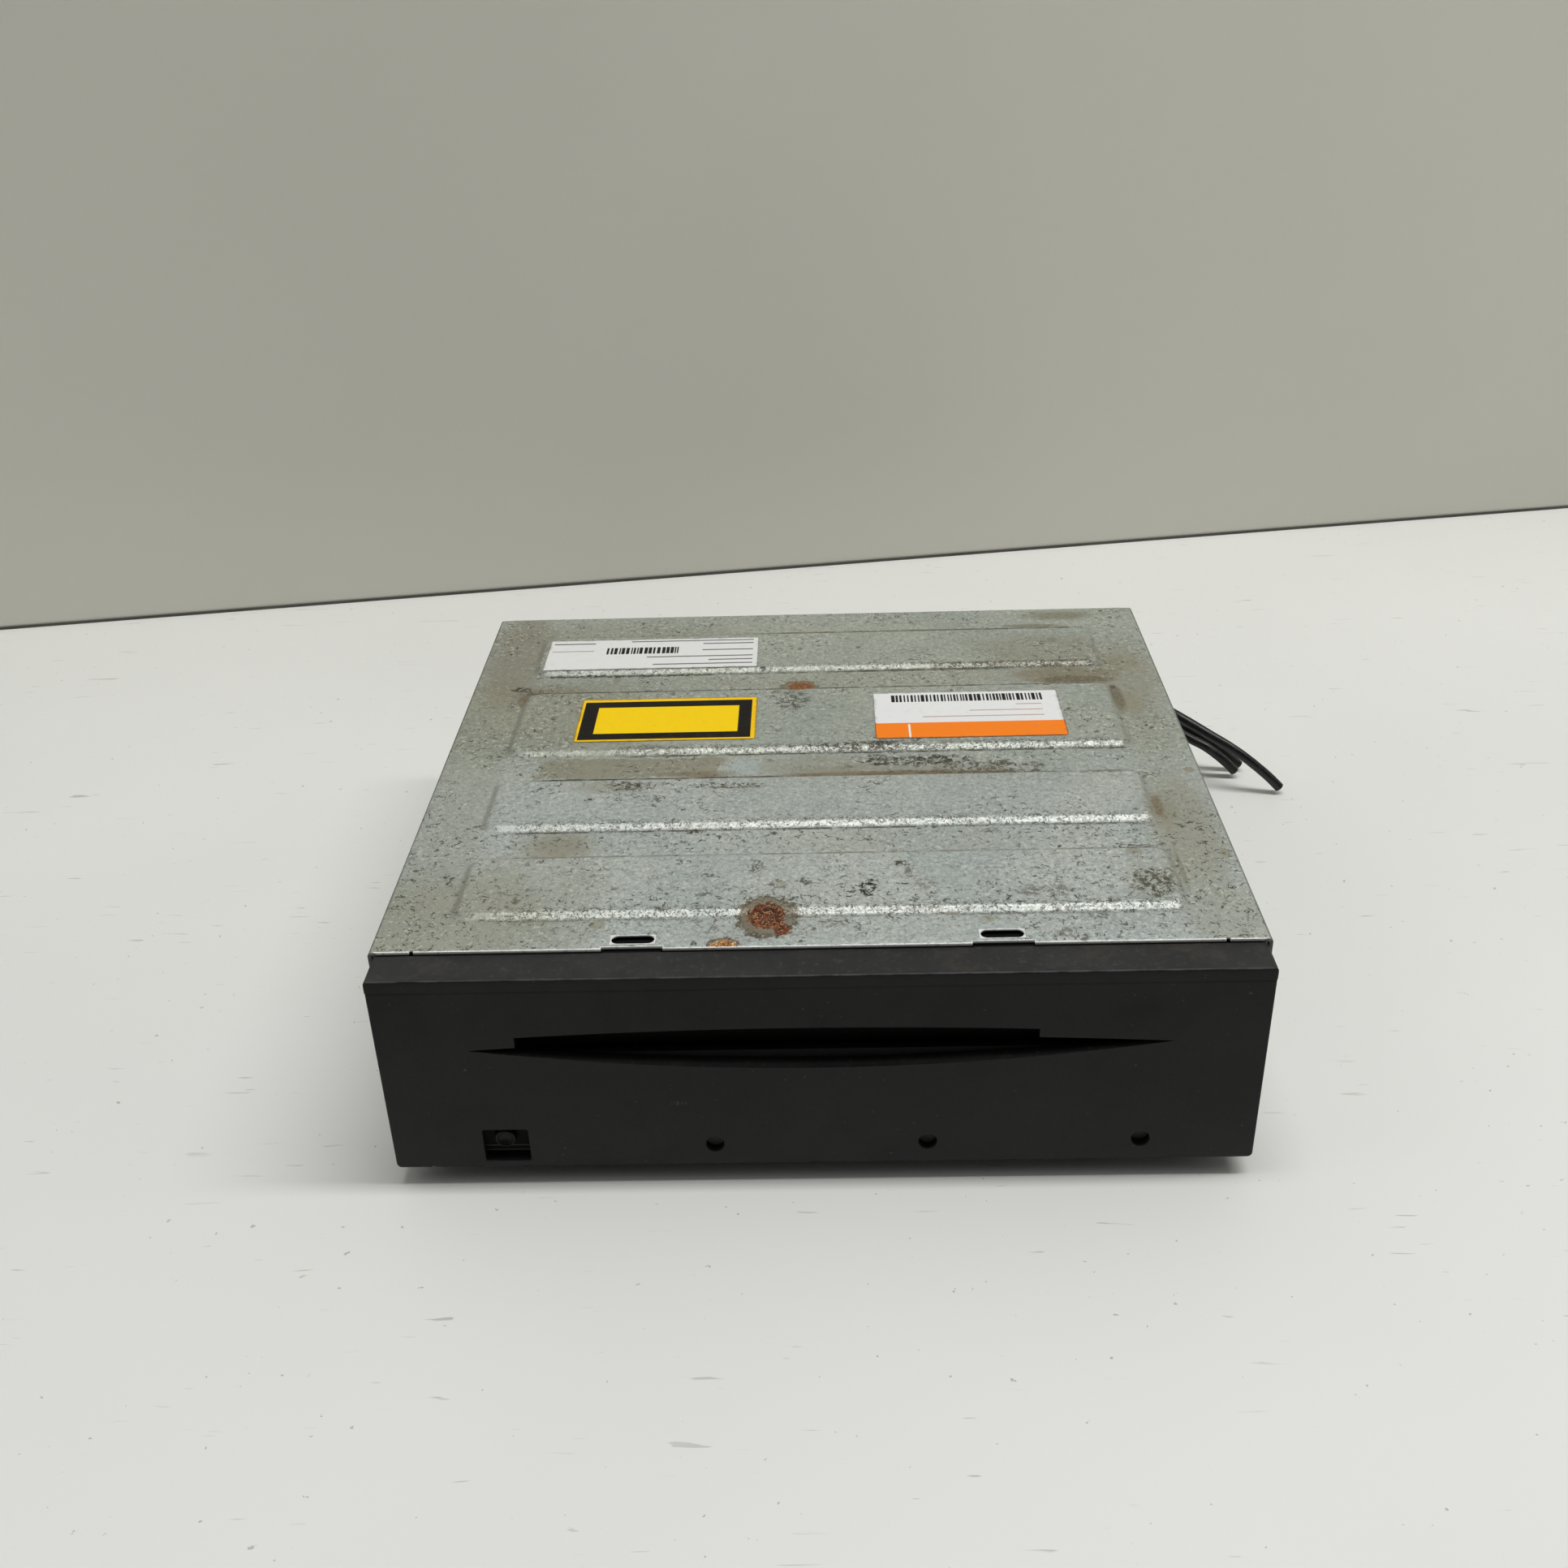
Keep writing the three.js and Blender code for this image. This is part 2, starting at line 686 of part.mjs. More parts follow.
function mainConnector() {
  const front = rearmostY - connectorDepth;
  const low = connectorUnder + shellWall;
  const high = connectorTop - shellWall;
  const back = rearmostY - connectorDepth / 2;
  let body = cut(
    block([connectorLeft, front, connectorUnder], [connectorRight, rearmostY, connectorTop]),
    block([connectorLeft + shellWall, back, low], [connectorRight - shellWall, rearmostY + overrun, high]),
  );
  for (let row = 0; row < pinRows; row += 1) {
    const z = low + (high - low) * ((2 * row + 1) / (2 * pinRows));
    for (let x = connectorLeft + pinPitch; x <= connectorRight - pinPitch; x += pinPitch) {
      body = joined(body, block(
        [x - pinSize / 2, back - overrun, z - pinSize / 2],
        [x + pinSize / 2, rearmostY - pinSetback, z + pinSize / 2],
      ));
    }
  }
  return body;
}

add('main_connector', mainConnector(), blackPlastic);

const socketBodyHalf = 7;
const socketBoreRadius = 2;
const socketFlange = 1.2;

function aerialSocket() {
  const bodyLow = boardTop + gap;
  const body = joined(
    block(
      [socketX - socketBodyHalf, rearPanelInnerY - gap - 2 * socketBodyHalf, bodyLow],
      [socketX + socketBodyHalf, rearPanelInnerY - gap, socketZ + socketRadius],
    ),
    barY(socketRadius, rearPanelInnerY - overrun, rearmostY, socketX, socketZ),
    barY(
      socketFlangeRadius, rearPanelOuterY + gap, rearPanelOuterY + gap + socketFlange,
      socketX, socketZ,
    ),
  );
  return cut(body, barY(socketBoreRadius, rearPanelInnerY, rearmostY + overrun, socketX, socketZ));
}

add('aerial_socket', aerialSocket(), brightSteel);

// Rubber grommet, and the three leads that come out of it, cut off bare.
const grommetLip = 1.2;
const grommetFlange = 1.5;

function leadGrommet() {
  const oval = (grow) => roundedRectangle(
    leadX - grommetHalfWidth - grow, leadX + grommetHalfWidth + grow,
    leadZ - grommetHalfHeight - grow, leadZ + grommetHalfHeight + grow, grommetHalfHeight + grow,
  );
  return joined(
    slabY(oval(0), rearPanelInnerY - gap - grommetFlange, rearPanelOuterY + gap + grommetFlange),
    slabY(oval(grommetLip), rearPanelOuterY + gap, rearPanelOuterY + gap + grommetFlange),
    slabY(oval(grommetLip), rearPanelInnerY - gap - grommetFlange, rearPanelInnerY - gap),
  );
}

add('lead_grommet', leadGrommet(), blackRubber);

const leadStartY = rearPanelOuterY + gap + grommetFlange + gap;
const leadRouteX = 69.5;
const leadRoutes = {
  lead_1: [
    [leadRouteX + leadSpacing, leadStartY, leadZ + leadStagger], [74, 92, 24], [75.3, 96.5, 23.9],
    [78.6, 100.2, 23.6],
    [83, 102.3, 23.1], [88, 102.3, 22.5], [92.5, 100, 21.9], [96.2, 96.5, 21.2], [99.8, 92.8, 20.5],
    [103.6, 88.9, 19.7], [107.4, 85, 18.8], [111.3, 81.6, 17.5], [115.6, 78.3, 15.8], [120, 75.6, 13.9],
    [124.6, 73.6, 11.2], [129.2, 72.3, 7.7], [132.6, 71.5, 4.8], [135.6, 71, 1.8],
  ],
  lead_2: [
    [leadRouteX - leadSpacing, leadStartY, leadZ], [65, 92, 22], [66.3, 97, 21.8], [69.6, 101.6, 21.4],
    [74.2, 105, 20.9], [79.6, 106.8, 20.2], [85.2, 106.9, 19.4], [90.6, 105.2, 18.5], [95.6, 102.2, 17.4],
    [100.3, 98.6, 16.2], [104.9, 94.8, 14.8], [109, 91.2, 13.3], [113.2, 88.2, 11.5], [117.2, 86.6, 9.2],
    [120.8, 85.9, 6.9], [124, 85.5, 4.3], [127, 85.2, 1.8],
  ],
  lead_3: [
    [leadRouteX, leadStartY, leadZ - leadStagger], [69.5, 92, 20], [70.9, 96.7, 19.8],
    [74.2, 100.6, 19.3],
    [78.9, 102.9, 18.6], [84.1, 103.3, 17.8], [89.1, 101.9, 16.9], [93.6, 99.1, 16], [97.9, 95.8, 15],
    [102.2, 92.3, 13.9], [106.8, 88.8, 12.7], [111.4, 85.2, 11.2], [115.6, 83, 9.6], [119.2, 81.8, 7.2],
    [122.2, 81.4, 4.6], [124.8, 81.3, 1.9],
  ],
};
const leadSides = 8;
const leadStepDiameters = 2.5;

function leadSolid(route) {
  const placed = route.map(([x, y, z]) => new THREE.Vector3(x + leadX - leadRouteX, y, z));
  const curve = new THREE.CatmullRomCurve3(placed);
  const section = new THREE.Shape(
    circleOutline(0, 0, leadDiameter / 2, leadSides).map(([u, v]) => new THREE.Vector2(u, v)),
  );
  const steps = Math.ceil(curve.getLength() / (leadStepDiameters * leadDiameter));
  return solidOf(new THREE.ExtrudeGeometry(section, { steps, extrudePath: curve, bevelEnabled: false }));
}

for (const [name, route] of Object.entries(leadRoutes)) {
  add(name, leadSolid(route), blackRubber);
}

// Backing frame behind the bezel: it closes the holes, guides the plunger and carries
// the ears that the dust flap hangs on.
const frameFrontY = frontY + bezelWall + gap;
const frameThickness = 1.8;
const frameBackY = frameFrontY + frameThickness;
const earInset = 25.5;
const earInner = bezelHalf - earInset;
const slitMargin = 0.5;
const slitHalf = earInner - slitMargin;
const slitBelow = 2.5;
const slitAbove = 3;
const slitLow = discPlane - slitBelow;
const slitHigh = discPlane + slitAbove;
const plungerRadius = 2.2;
const earThickness = 2;
const earReach = 4.2;
const earHeight = 5;
const flapPinRadius = 0.8;
const flapPinSetback = 2.4;
const flapPinLift = 2.2;
const flapPinY = frameBackY + flapPinSetback;
const flapPinZ = slitHigh + flapPinLift;

function backingFrame() {
  const half = bezelHalf - bezelWall - gap;
  let body = block(
    [-half, frameFrontY, bezelBottom + bezelWall + gap],
    [half, frameBackY, bezelTop - bezelWall - gap],
  );
  body = cut(
    body,
    block([-slitHalf, frameFrontY - overrun, slitLow], [slitHalf, frameBackY + overrun, slitHigh]),
    barY(plungerRadius + runningGap, frameFrontY - overrun, frameBackY + overrun, plungerX, plungerZ),
  );
  for (const side of [-1, 1]) {
    const inner = side * earInner;
    const outer = side * (earInner + earThickness);
    body = joined(body, block(
      [Math.min(inner, outer), frameBackY - runningGap, flapPinZ - earHeight / 2],
      [Math.max(inner, outer), frameBackY + earReach, flapPinZ + earHeight / 2],
    ));
  }
  const reach = earInner + earThickness + overrun;
  return cut(body, barX(flapPinRadius + runningGap, -reach, reach, flapPinY, flapPinZ, fewSides));
}

add('backing_frame', backingFrame(), darkPlastic);

// Dust flap: a thin plate with a rolled sleeve, hung on a steel pin behind the slit.
const flapThickness = 1;
const flapSleeveRadius = 1.6;
const flapOverlap = 0.6;
const flapHalf = earInner - gap;
const flapLow = slitLow - flapOverlap;

const flapBore = barX(
  flapPinRadius + runningGap, -flapHalf - overrun, flapHalf + overrun, flapPinY, flapPinZ, fewSides,
);
add('slot_flap', cut(joined(
  barX(flapSleeveRadius, -flapHalf, flapHalf, flapPinY, flapPinZ, fewSides),
  block(
    [-flapHalf, flapPinY - flapThickness / 2, flapLow],
    [flapHalf, flapPinY + flapThickness / 2, flapPinZ - flapPinRadius - runningGap],
  ),
), flapBore), darkPlastic);

const flapPinHalf = earInner + earThickness;
add('flap_pin', barX(
  flapPinRadius, -flapPinHalf, flapPinHalf, flapPinY, flapPinZ, fewSides,
), brightSteel);

// Eject button: a plunger that runs in the backing frame and presses a small switch.
const plungerFrontY = frameFrontY + gap;
const plungerLength = 6.4;
const plungerCrown = 0.5;
const plungerFlange = 1;
const plungerFlangeRadius = 3.2;
const plungerTravel = 1.5;
const switchWidth = 9;
const switchDepth = 6;
const switchHeight = 4;

function ejectButton() {
  const back = plungerFrontY + plungerLength;
  const flangeFront = frameBackY + gap;
  return joined(
    barY(plungerRadius, plungerFrontY + plungerCrown, back, plungerX, plungerZ),
    barY(
      plungerRadius * crownShare, plungerFrontY, plungerFrontY + plungerCrown,
      plungerX, plungerZ, roundSides, plungerRadius,
    ),
    barY(plungerFlangeRadius, flangeFront, flangeFront + plungerFlange, plungerX, plungerZ),
  );
}

add('eject_button', ejectButton(), blackPlastic);

const switchFrontY = plungerFrontY + plungerLength + plungerTravel + gap;
add('eject_switch', block(
  [plungerX - switchWidth / 2, switchFrontY, boardTop + gap],
  [plungerX + switchWidth / 2, switchFrontY + switchDepth, boardTop + gap + switchHeight],
), greyPlastic);

// Where the mechanism stands across the unit, all from the half width of its deck.
const deckInset = 4.4;
const deckHalf = coverHalf - deckInset;
const sidePlateInset = 19.5;
const sidePlateX = deckHalf - sidePlateInset;
const slideInset = 13.5;
const slideInnerX = deckHalf - slideInset;
const armInset = 4;
const armInner = sidePlateX - armInset;

// Loading rollers: the bracket swings at its rear on pins in two upright plates, and
// carries the shaft, its rubber sleeve and its gear up against the disc's path.
const rollerSetback = 20;
const rollerRadius = 4.5;
const rollerWaist = 0.8;
const rollerEndGap = 1.5;
const rollerHalf = armInner - rollerEndGap;
const rollerY = frontY + rollerSetback;
const rollerZ = discUnder - rollerRadius - gap;
const shaftRadius = 1.5;
const bracketReach = 26;
const pivotY = rollerY + bracketReach;
const pivotZ = rollerZ;
const armThickness = 2;
const armHeight = 5;
const armMargin = 4;
const stripThickness = 1.5;
const stripDepth = 6;
const stripSetback = 6.5;
const pivotPinReach = 4;
const camPinRadius = 1.2;
const bracketCamSetback = 17;
const module = 0.6;
const meshGap = 0.15;
const rollerTeeth = 16;
const driveTeeth = 24;
const pinionTeeth = 12;

// A spur gear outline as [y, z] points, with one tooth centred on the given angle.
const toothTipShare = 0.22;
const toothRootShare = 0.6;
const dedendumShare = 1.2;

function gearOutline(teeth, y, z, phase) {
  const pitchRadius = (module * teeth) / 2;
  const tip = pitchRadius + module;
  const root = pitchRadius - dedendumShare * module;
  const pitch = (2 * Math.PI) / teeth;
  const corners = [
    [root, -toothRootShare / 2],
    [tip, -toothTipShare / 2],
    [tip, toothTipShare / 2],
    [root, toothRootShare / 2],
  ];
  const outline = [];
  for (let tooth = 0; tooth < teeth; tooth += 1) {
    for (const [radius, share] of corners) {
      const angle = phase + pitch * (tooth + share);
      outline.push([y + radius * Math.cos(angle), z + radius * Math.sin(angle)]);
    }
  }
  return outline;
}

// The phase that puts a gear's gap where its partner's tooth points.
function meshedPhase(direction, teeth, phase, partnerTeeth) {
  const turns = (direction - phase) * teeth;
  return direction + Math.PI - (Math.PI - turns) / partnerTeeth;
}

const sidePlateSheet = 1.2;
const sidePlateOuter = sidePlateX + sidePlateSheet;
const postRadius = 1.2;
const pulleyWidth = 3;
const pulleyInnerX = sidePlateOuter + 2 * gap;
const pulleyOuterX = pulleyInnerX + pulleyWidth;
const pinionWidth = 3.5;
const gearInnerX = pulleyOuterX + gap;
const driveWidth = 6.2;
const rollerGearWidth = 3;
const rollerGearInnerX = pulleyOuterX + pinionWidth + gap;
const driveDistance = (module * (rollerTeeth + driveTeeth)) / 2 + meshGap;
const driveY = rollerY;
const driveZ = rollerZ + driveDistance;
const pulleyDirection = -Math.PI / 6;
const pulleyDistance = (module * (pinionTeeth + driveTeeth)) / 2 + meshGap;
const pulleyY = driveY + pulleyDistance * Math.cos(pulleyDirection);
const pulleyZ = driveZ + pulleyDistance * Math.sin(pulleyDirection);
const rollerPhase = Math.PI / 2;
const drivePhase = meshedPhase(Math.PI / 2, rollerTeeth, rollerPhase, driveTeeth);
const pinionPhase = meshedPhase(pulleyDirection, driveTeeth, drivePhase, pinionTeeth);

function rollerBracket() {
  const arm = roundedRectangle(
    rollerY - armMargin, pivotY + armMargin,
    rollerZ - armHeight / 2, rollerZ + armHeight / 2, armHeight / 2,
  );
  const stripY = rollerY + stripSetback;
  const stripZ = rollerZ - armHeight / 2 + overrun;
  let body = block(
    [-armInner - overrun, stripY, stripZ],
    [armInner + overrun, stripY + stripDepth, stripZ + stripThickness],
  );
  for (const side of [-1, 1]) {
    const spanX = (from, to) => [Math.min(side * from, side * to), Math.max(side * from, side * to)];
    const outer = armInner + armThickness;
    const shaftSpan = spanX(armInner - overrun, outer + overrun);
    const pinSpan = spanX(armInner + overrun, outer + pivotPinReach);
    const armSolid = cut(
      slabX(arm, ...spanX(armInner, outer)),
      barX(shaftRadius + runningGap, ...shaftSpan, rollerY, rollerZ, fewSides),
    );
    body = joined(body, armSolid, barX(shaftRadius, ...pinSpan, pivotY, pivotZ, fewSides));
  }
  return joined(body, barX(
    camPinRadius, -slideOuterX - overrun, -armInner - overrun,
    pivotY - bracketCamSetback, pivotZ, fewSides,
  ));
}

// Cam slide: a bar on the left of the deck whose sloping slots lower the roller
// bracket and the clamp arm together as it moves to the rear.
const slideThickness = 3;
const slideOuterX = slideInnerX + slideThickness;
const slideFrontY = -78;
const slideRearY = 38;
const slideHeight = 13.5;
const slideTravel = 12;
const slideSkirt = 3;
const slideSkirtRearY = -64.5;
const slideLow = deckTop + gap;
const slotClearance = 0.35;
const bracketDropDegrees = 7;
const armDropDegrees = 2.6;
const bracketDropAngle = (bracketDropDegrees * Math.PI) / 180;
const armDropAngle = (armDropDegrees * Math.PI) / 180;
const armPivotY = 58;
const armPivotZ = 44;
const armCamY = 20;
const armCamZ = 36;

function camSlot(y, z, drop) {
  const radius = camPinRadius + slotClearance;
  const end = [y - slideTravel, z - drop];
  const length = Math.hypot(slideTravel, drop);
  const tilt = Math.atan2(drop, slideTravel);
  const around = (centre, from) => {
    const points = [];
    const steps = 6;
    for (let step = 0; step <= steps; step += 1) {
      const angle = from + (Math.PI * step) / steps;
      points.push([centre[0] + radius * Math.cos(angle), centre[1] + radius * Math.sin(angle)]);
    }
    return points;
  };
  const spare = slotClearance / length;
  const near = [y + spare * slideTravel, z + spare * drop];
  const outline = [...around(near, tilt - Math.PI / 2), ...around(end, tilt + Math.PI / 2)];
  return slabX(outline, -slideOuterX - overrun, -slideInnerX + overrun);
}

function camSlide() {
  const bar = joined(
    block([-slideOuterX, slideFrontY, slideLow], [-slideInnerX, slideRearY, slideLow + slideHeight]),
    block(
      [-slideOuterX, slideFrontY, slideLow - slideSkirt],
      [-slideInnerX, slideSkirtRearY, slideLow + overrun],
    ),
  );
  const bracketDrop = bracketCamSetback * Math.sin(bracketDropAngle);
  const armDrop = (armPivotY - armCamY) * Math.sin(armDropAngle);
  return cut(
    bar,
    camSlot(pivotY - bracketCamSetback, pivotZ, bracketDrop),
    camSlot(armCamY, armCamZ, armDrop),
  );
}

add('roller_bracket', rollerBracket(), platedSteel);
add('cam_slide', camSlide(), greyPlastic);

// Roller shaft, its waisted rubber sleeve, and the gear pressed on its right end.
const shaftEndX = rollerGearInnerX + rollerGearWidth + overrun;
const shaftLeftX = -armInner - armThickness - overrun;
add('roller_shaft', barX(shaftRadius, shaftLeftX, shaftEndX, rollerY, rollerZ, fewSides), brightSteel);

function rollerSleeve() {
  const stations = 8;
  const rings = [];
  for (let station = 0; station <= stations; station += 1) {
    const share = (2 * station) / stations - 1;
    const radius = rollerRadius - rollerWaist * (1 - share * share);
    rings.push(circleOutline(rollerY, rollerZ, radius).map(([y, z]) => [share * rollerHalf, y, z]));
  }
  const bore = barX(
    shaftRadius + runningGap, -rollerHalf - overrun, rollerHalf + overrun, rollerY, rollerZ, fewSides,
  );
  return cut(loft(rings), bore);
}

add('roller_sleeve', rollerSleeve(), blackRubber);
add('roller_gear', cut(
  slabX(
    gearOutline(rollerTeeth, rollerY, rollerZ, rollerPhase),
    rollerGearInnerX, rollerGearInnerX + rollerGearWidth,
  ),
  barX(
    shaftRadius + runningGap, rollerGearInnerX - overrun, shaftEndX + overrun,
    rollerY, rollerZ, fewSides,
  ),
), whitePlastic);

// Gear side plate: it stands in a cut of the deck, holds the motor and the bracket's
// right pivot, and carries the posts that the gears turn on.
const motorY = -24;
const motorHalfHeight = 5.9;
const motorRadius = 7.75;
const motorZ = deckUnder - gap - motorHalfHeight;
const motorLength = 20;
const motorBossRadius = 3;
const motorBossLength = 1.5;
const motorShaftRadius = 1;
const plateRearY = -12;
const plateStepY = -36;
const plateNoseY = -54;
const plateFrontY = -77;
const plateTopZ = 39.2;
const plateNoseTopZ = 47;
const plateNoseLowZ = 34.5;
const plateRearTopZ = 30;
const plateLowZ = 13;
const plateMiddleZ = 24;
const plateCutRearY = plateRearY + overrun;
const postHead = 0.6;

function gearSidePlate() {
  const outline = [
    [plateRearY, plateLowZ],
    [plateRearY, plateRearTopZ],
    [plateStepY, plateRearTopZ],
    [plateStepY, plateTopZ],
    [plateNoseY + armMargin, plateTopZ],
    [plateNoseY, plateNoseTopZ],
    [plateFrontY, plateNoseTopZ],
    [plateFrontY, plateNoseLowZ],
    [plateNoseY, plateNoseLowZ],
    [plateNoseY, plateMiddleZ],
    [plateStepY, plateMiddleZ],
    [plateStepY, plateLowZ],
  ];
  const inside = sidePlateX + sidePlateSheet / 2;
  const pulleyPostEnd = pulleyOuterX + pinionWidth + gap;
  const drivePostEnd = gearInnerX + driveWidth + gap;
  return joined(
    cut(
      slabX(outline, sidePlateX, sidePlateOuter),
      barX(
        shaftRadius + runningGap, sidePlateX - overrun, sidePlateOuter + overrun,
        pivotY, pivotZ, fewSides,
      ),
      barX(motorBossRadius + gap, sidePlateX - overrun, sidePlateOuter + overrun, motorY, motorZ),
    ),
    barX(postRadius, inside, pulleyPostEnd, pulleyY, pulleyZ, fewSides),
    barX(postRadius + postHead, pulleyPostEnd, pulleyPostEnd + postHead, pulleyY, pulleyZ, fewSides),
    barX(postRadius, inside, drivePostEnd, driveY, driveZ, fewSides),
    barX(postRadius + postHead, drivePostEnd, drivePostEnd + postHead, driveY, driveZ, fewSides),
  );
}

add('gear_side_plate', gearSidePlate(), platedSteel);

// Gears, pulleys and belt between the loading motor and the roller.
const beltThickness = 1;
const beltWidth = 1.2;
const grooveDepth = 1.1;
const pulleyRadius = 9;
const motorPulleyRadius = 3.4;
const postBore = postRadius + runningGap;
const pulleyMiddleX = (pulleyInnerX + pulleyOuterX) / 2;

function grooved(radius, y, z) {
  const rim = (pulleyWidth - beltWidth) / 2 - runningGap;
  return joined(
    barX(radius, pulleyInnerX, pulleyInnerX + rim, y, z),
    barX(radius - grooveDepth, pulleyInnerX, pulleyOuterX, y, z),
    barX(radius, pulleyOuterX - rim, pulleyOuterX, y, z),
  );
}

add('drive_gear', cut(
  slabX(gearOutline(driveTeeth, driveY, driveZ, drivePhase), gearInnerX, gearInnerX + driveWidth),
  barX(postBore, gearInnerX - overrun, gearInnerX + driveWidth + overrun, driveY, driveZ, fewSides),
), whitePlastic);

add('pulley_gear', cut(
  joined(
    grooved(pulleyRadius, pulleyY, pulleyZ),
    slabX(
      gearOutline(pinionTeeth, pulleyY, pulleyZ, pinionPhase),
      pulleyOuterX - overrun, pulleyOuterX + pinionWidth,
    ),
  ),
  barX(
    postBore, pulleyInnerX - overrun, pulleyOuterX + pinionWidth + overrun,
    pulleyY, pulleyZ, fewSides,
  ),
), whitePlastic);

add('motor_pulley', joined(
  grooved(motorPulleyRadius, motorY, motorZ),
  barX(
    motorShaftRadius, sidePlateX - motorBossLength - motorLength / 4, pulleyOuterX + overrun,
    motorY, motorZ, fewSides,
  ),
), brightSteel);

function beltOutline(outside) {
  const large = pulleyRadius - grooveDepth + runningGap + outside;
  const small = motorPulleyRadius - grooveDepth + runningGap + outside;
  const distance = Math.hypot(motorY - pulleyY, motorZ - pulleyZ);
  const direction = Math.atan2(motorZ - pulleyZ, motorY - pulleyY);
  const wrap = Math.acos((large - small) / distance);
  const steps = 16;
  const outline = [];
  for (let step = 0; step <= steps; step += 1) {
    const angle = direction + wrap + (2 * (Math.PI - wrap) * step) / steps;
    outline.push([pulleyY + large * Math.cos(angle), pulleyZ + large * Math.sin(angle)]);
  }
  for (let step = 0; step <= steps / 2; step += 1) {
    const angle = direction - wrap + (2 * wrap * step) / (steps / 2);
    outline.push([motorY + small * Math.cos(angle), motorZ + small * Math.sin(angle)]);
  }
  return outline;
}

add('drive_belt', cut(
  slabX(beltOutline(beltThickness), pulleyMiddleX - beltWidth / 2, pulleyMiddleX + beltWidth / 2),
  slabX(beltOutline(0), pulleyInnerX, pulleyOuterX),
), blackRubber);

// Small motors: a round can with two flats, and a boss around its shaft.
function flatCan(from, to, along) {
  const low = motorZ - motorHalfHeight;
  const high = motorZ + motorHalfHeight;
  const round = along === 'x'
    ? barX(motorRadius, from, to, motorY, motorZ)
    : barY(motorRadius, from, to, sledMotorX, motorZ);
  const flats = along === 'x'
    ? block([from, motorY - motorRadius, low], [to, motorY + motorRadius, high])
    : block([sledMotorX - motorRadius, from, low], [sledMotorX + motorRadius, to, high]);
  return round.intersect(flats);
}

const motorFaceX = sidePlateX - gap;
add('loading_motor', cut(
  joined(
    flatCan(motorFaceX - motorLength, motorFaceX, 'x'),
    barX(motorBossRadius, motorFaceX - overrun, motorFaceX + motorBossLength, motorY, motorZ),
  ),
  barX(
    motorShaftRadius + runningGap, motorFaceX - motorLength / 2, motorFaceX + motorBossLength + overrun,
    motorY, motorZ, fewSides,
  ),
), brightSteel);

// Deck plate: it floats on the dampers and carries the whole mechanism.
const deckFrontY = -52;
const deckRearY = 74;
const spindleSetback = 82;
const spindleY = frontY + spindleSetback;
const spindleHoleRadius = 8;
const windowHalf = 30;
const windowSetback = 10.5;
const windowFrontY = spindleY + windowSetback;
const windowRearY = 66;
const damperNeckRadius = 2.7;
const carrierDepth = 3;
const rodX = 24;
const rodZ = 21;
const rodRadius = 1.5;
const carrierHalf = 3;
const carrierDrop = 6.7;
const screwX = 34;
const screwZ = rodZ;
const leadScrewRadius = 1.5;
const sledMotorX = screwX;
const leftEarX = sidePlateX;
const guideEarHeight = 5;
const guideEarPlaces = [[-36, -30], [24, 30]];
const armEarX = 30;
const armEarHalfDepth = 4;
const armEarTop = 3;
const armPinRadius = 1.2;

function deckPlate() {
  let body = block([-deckHalf, deckFrontY, deckUnder], [deckHalf, deckRearY, deckTop]);
  body = cut(
    body,
    barZ(spindleHoleRadius, deckUnder - overrun, deckTop + overrun, 0, spindleY),
    block([-windowHalf, windowFrontY, deckUnder - overrun], [windowHalf, windowRearY, deckTop + overrun]),
    block(
      [sidePlateX - gap, deckFrontY - overrun, deckUnder - overrun],
      [sidePlateOuter + gap, plateCutRearY, deckTop + overrun],
    ),
    block(
      [sidePlateOuter, deckFrontY - overrun, deckUnder - overrun],
      [pulleyOuterX + 2 * gap, motorY + motorPulleyRadius + 2 * gap, deckTop + overrun],
    ),
  );
  for (const x of [-damperX, damperX]) {
    for (const y of Object.values(damperPlaces)) {
      const hole = barZ(damperNeckRadius + gap, deckUnder - overrun, deckTop + overrun, x, y, fewSides);
      body = cut(body, hole);
    }
  }
  const inSheet = deckTop - deckSheet / 2;
  body = joined(body, cut(
    block(
      [-leftEarX - sidePlateSheet, plateNoseY + armMargin, inSheet],
      [-leftEarX, plateStepY, plateTopZ],
    ),
    barX(
      shaftRadius + runningGap, -leftEarX - sidePlateSheet - overrun, -leftEarX + overrun,
      pivotY, pivotZ, fewSides,
    ),
  ));
  for (const [near, far] of guideEarPlaces) {
    for (const x of [-slideOuterX - gap - sidePlateSheet, -slideInnerX + gap]) {
      body = joined(body, block([x, near, inSheet], [x + sidePlateSheet, far, deckTop + guideEarHeight]));
    }
  }
  for (const side of [-1, 1]) {
    const x = side > 0 ? armEarX : -armEarX - sidePlateSheet;
    body = joined(body, cut(
      block(
        [x, armPivotY - armEarHalfDepth, inSheet],
        [x + sidePlateSheet, armPivotY + armEarHalfDepth, armPivotZ + armEarTop],
      ),
      barX(
        armPinRadius + runningGap, x - overrun, x + sidePlateSheet + overrun,
        armPivotY, armPivotZ, fewSides,
      ),
    ));
  }
  return joined(body, ...rodCarriers());
}

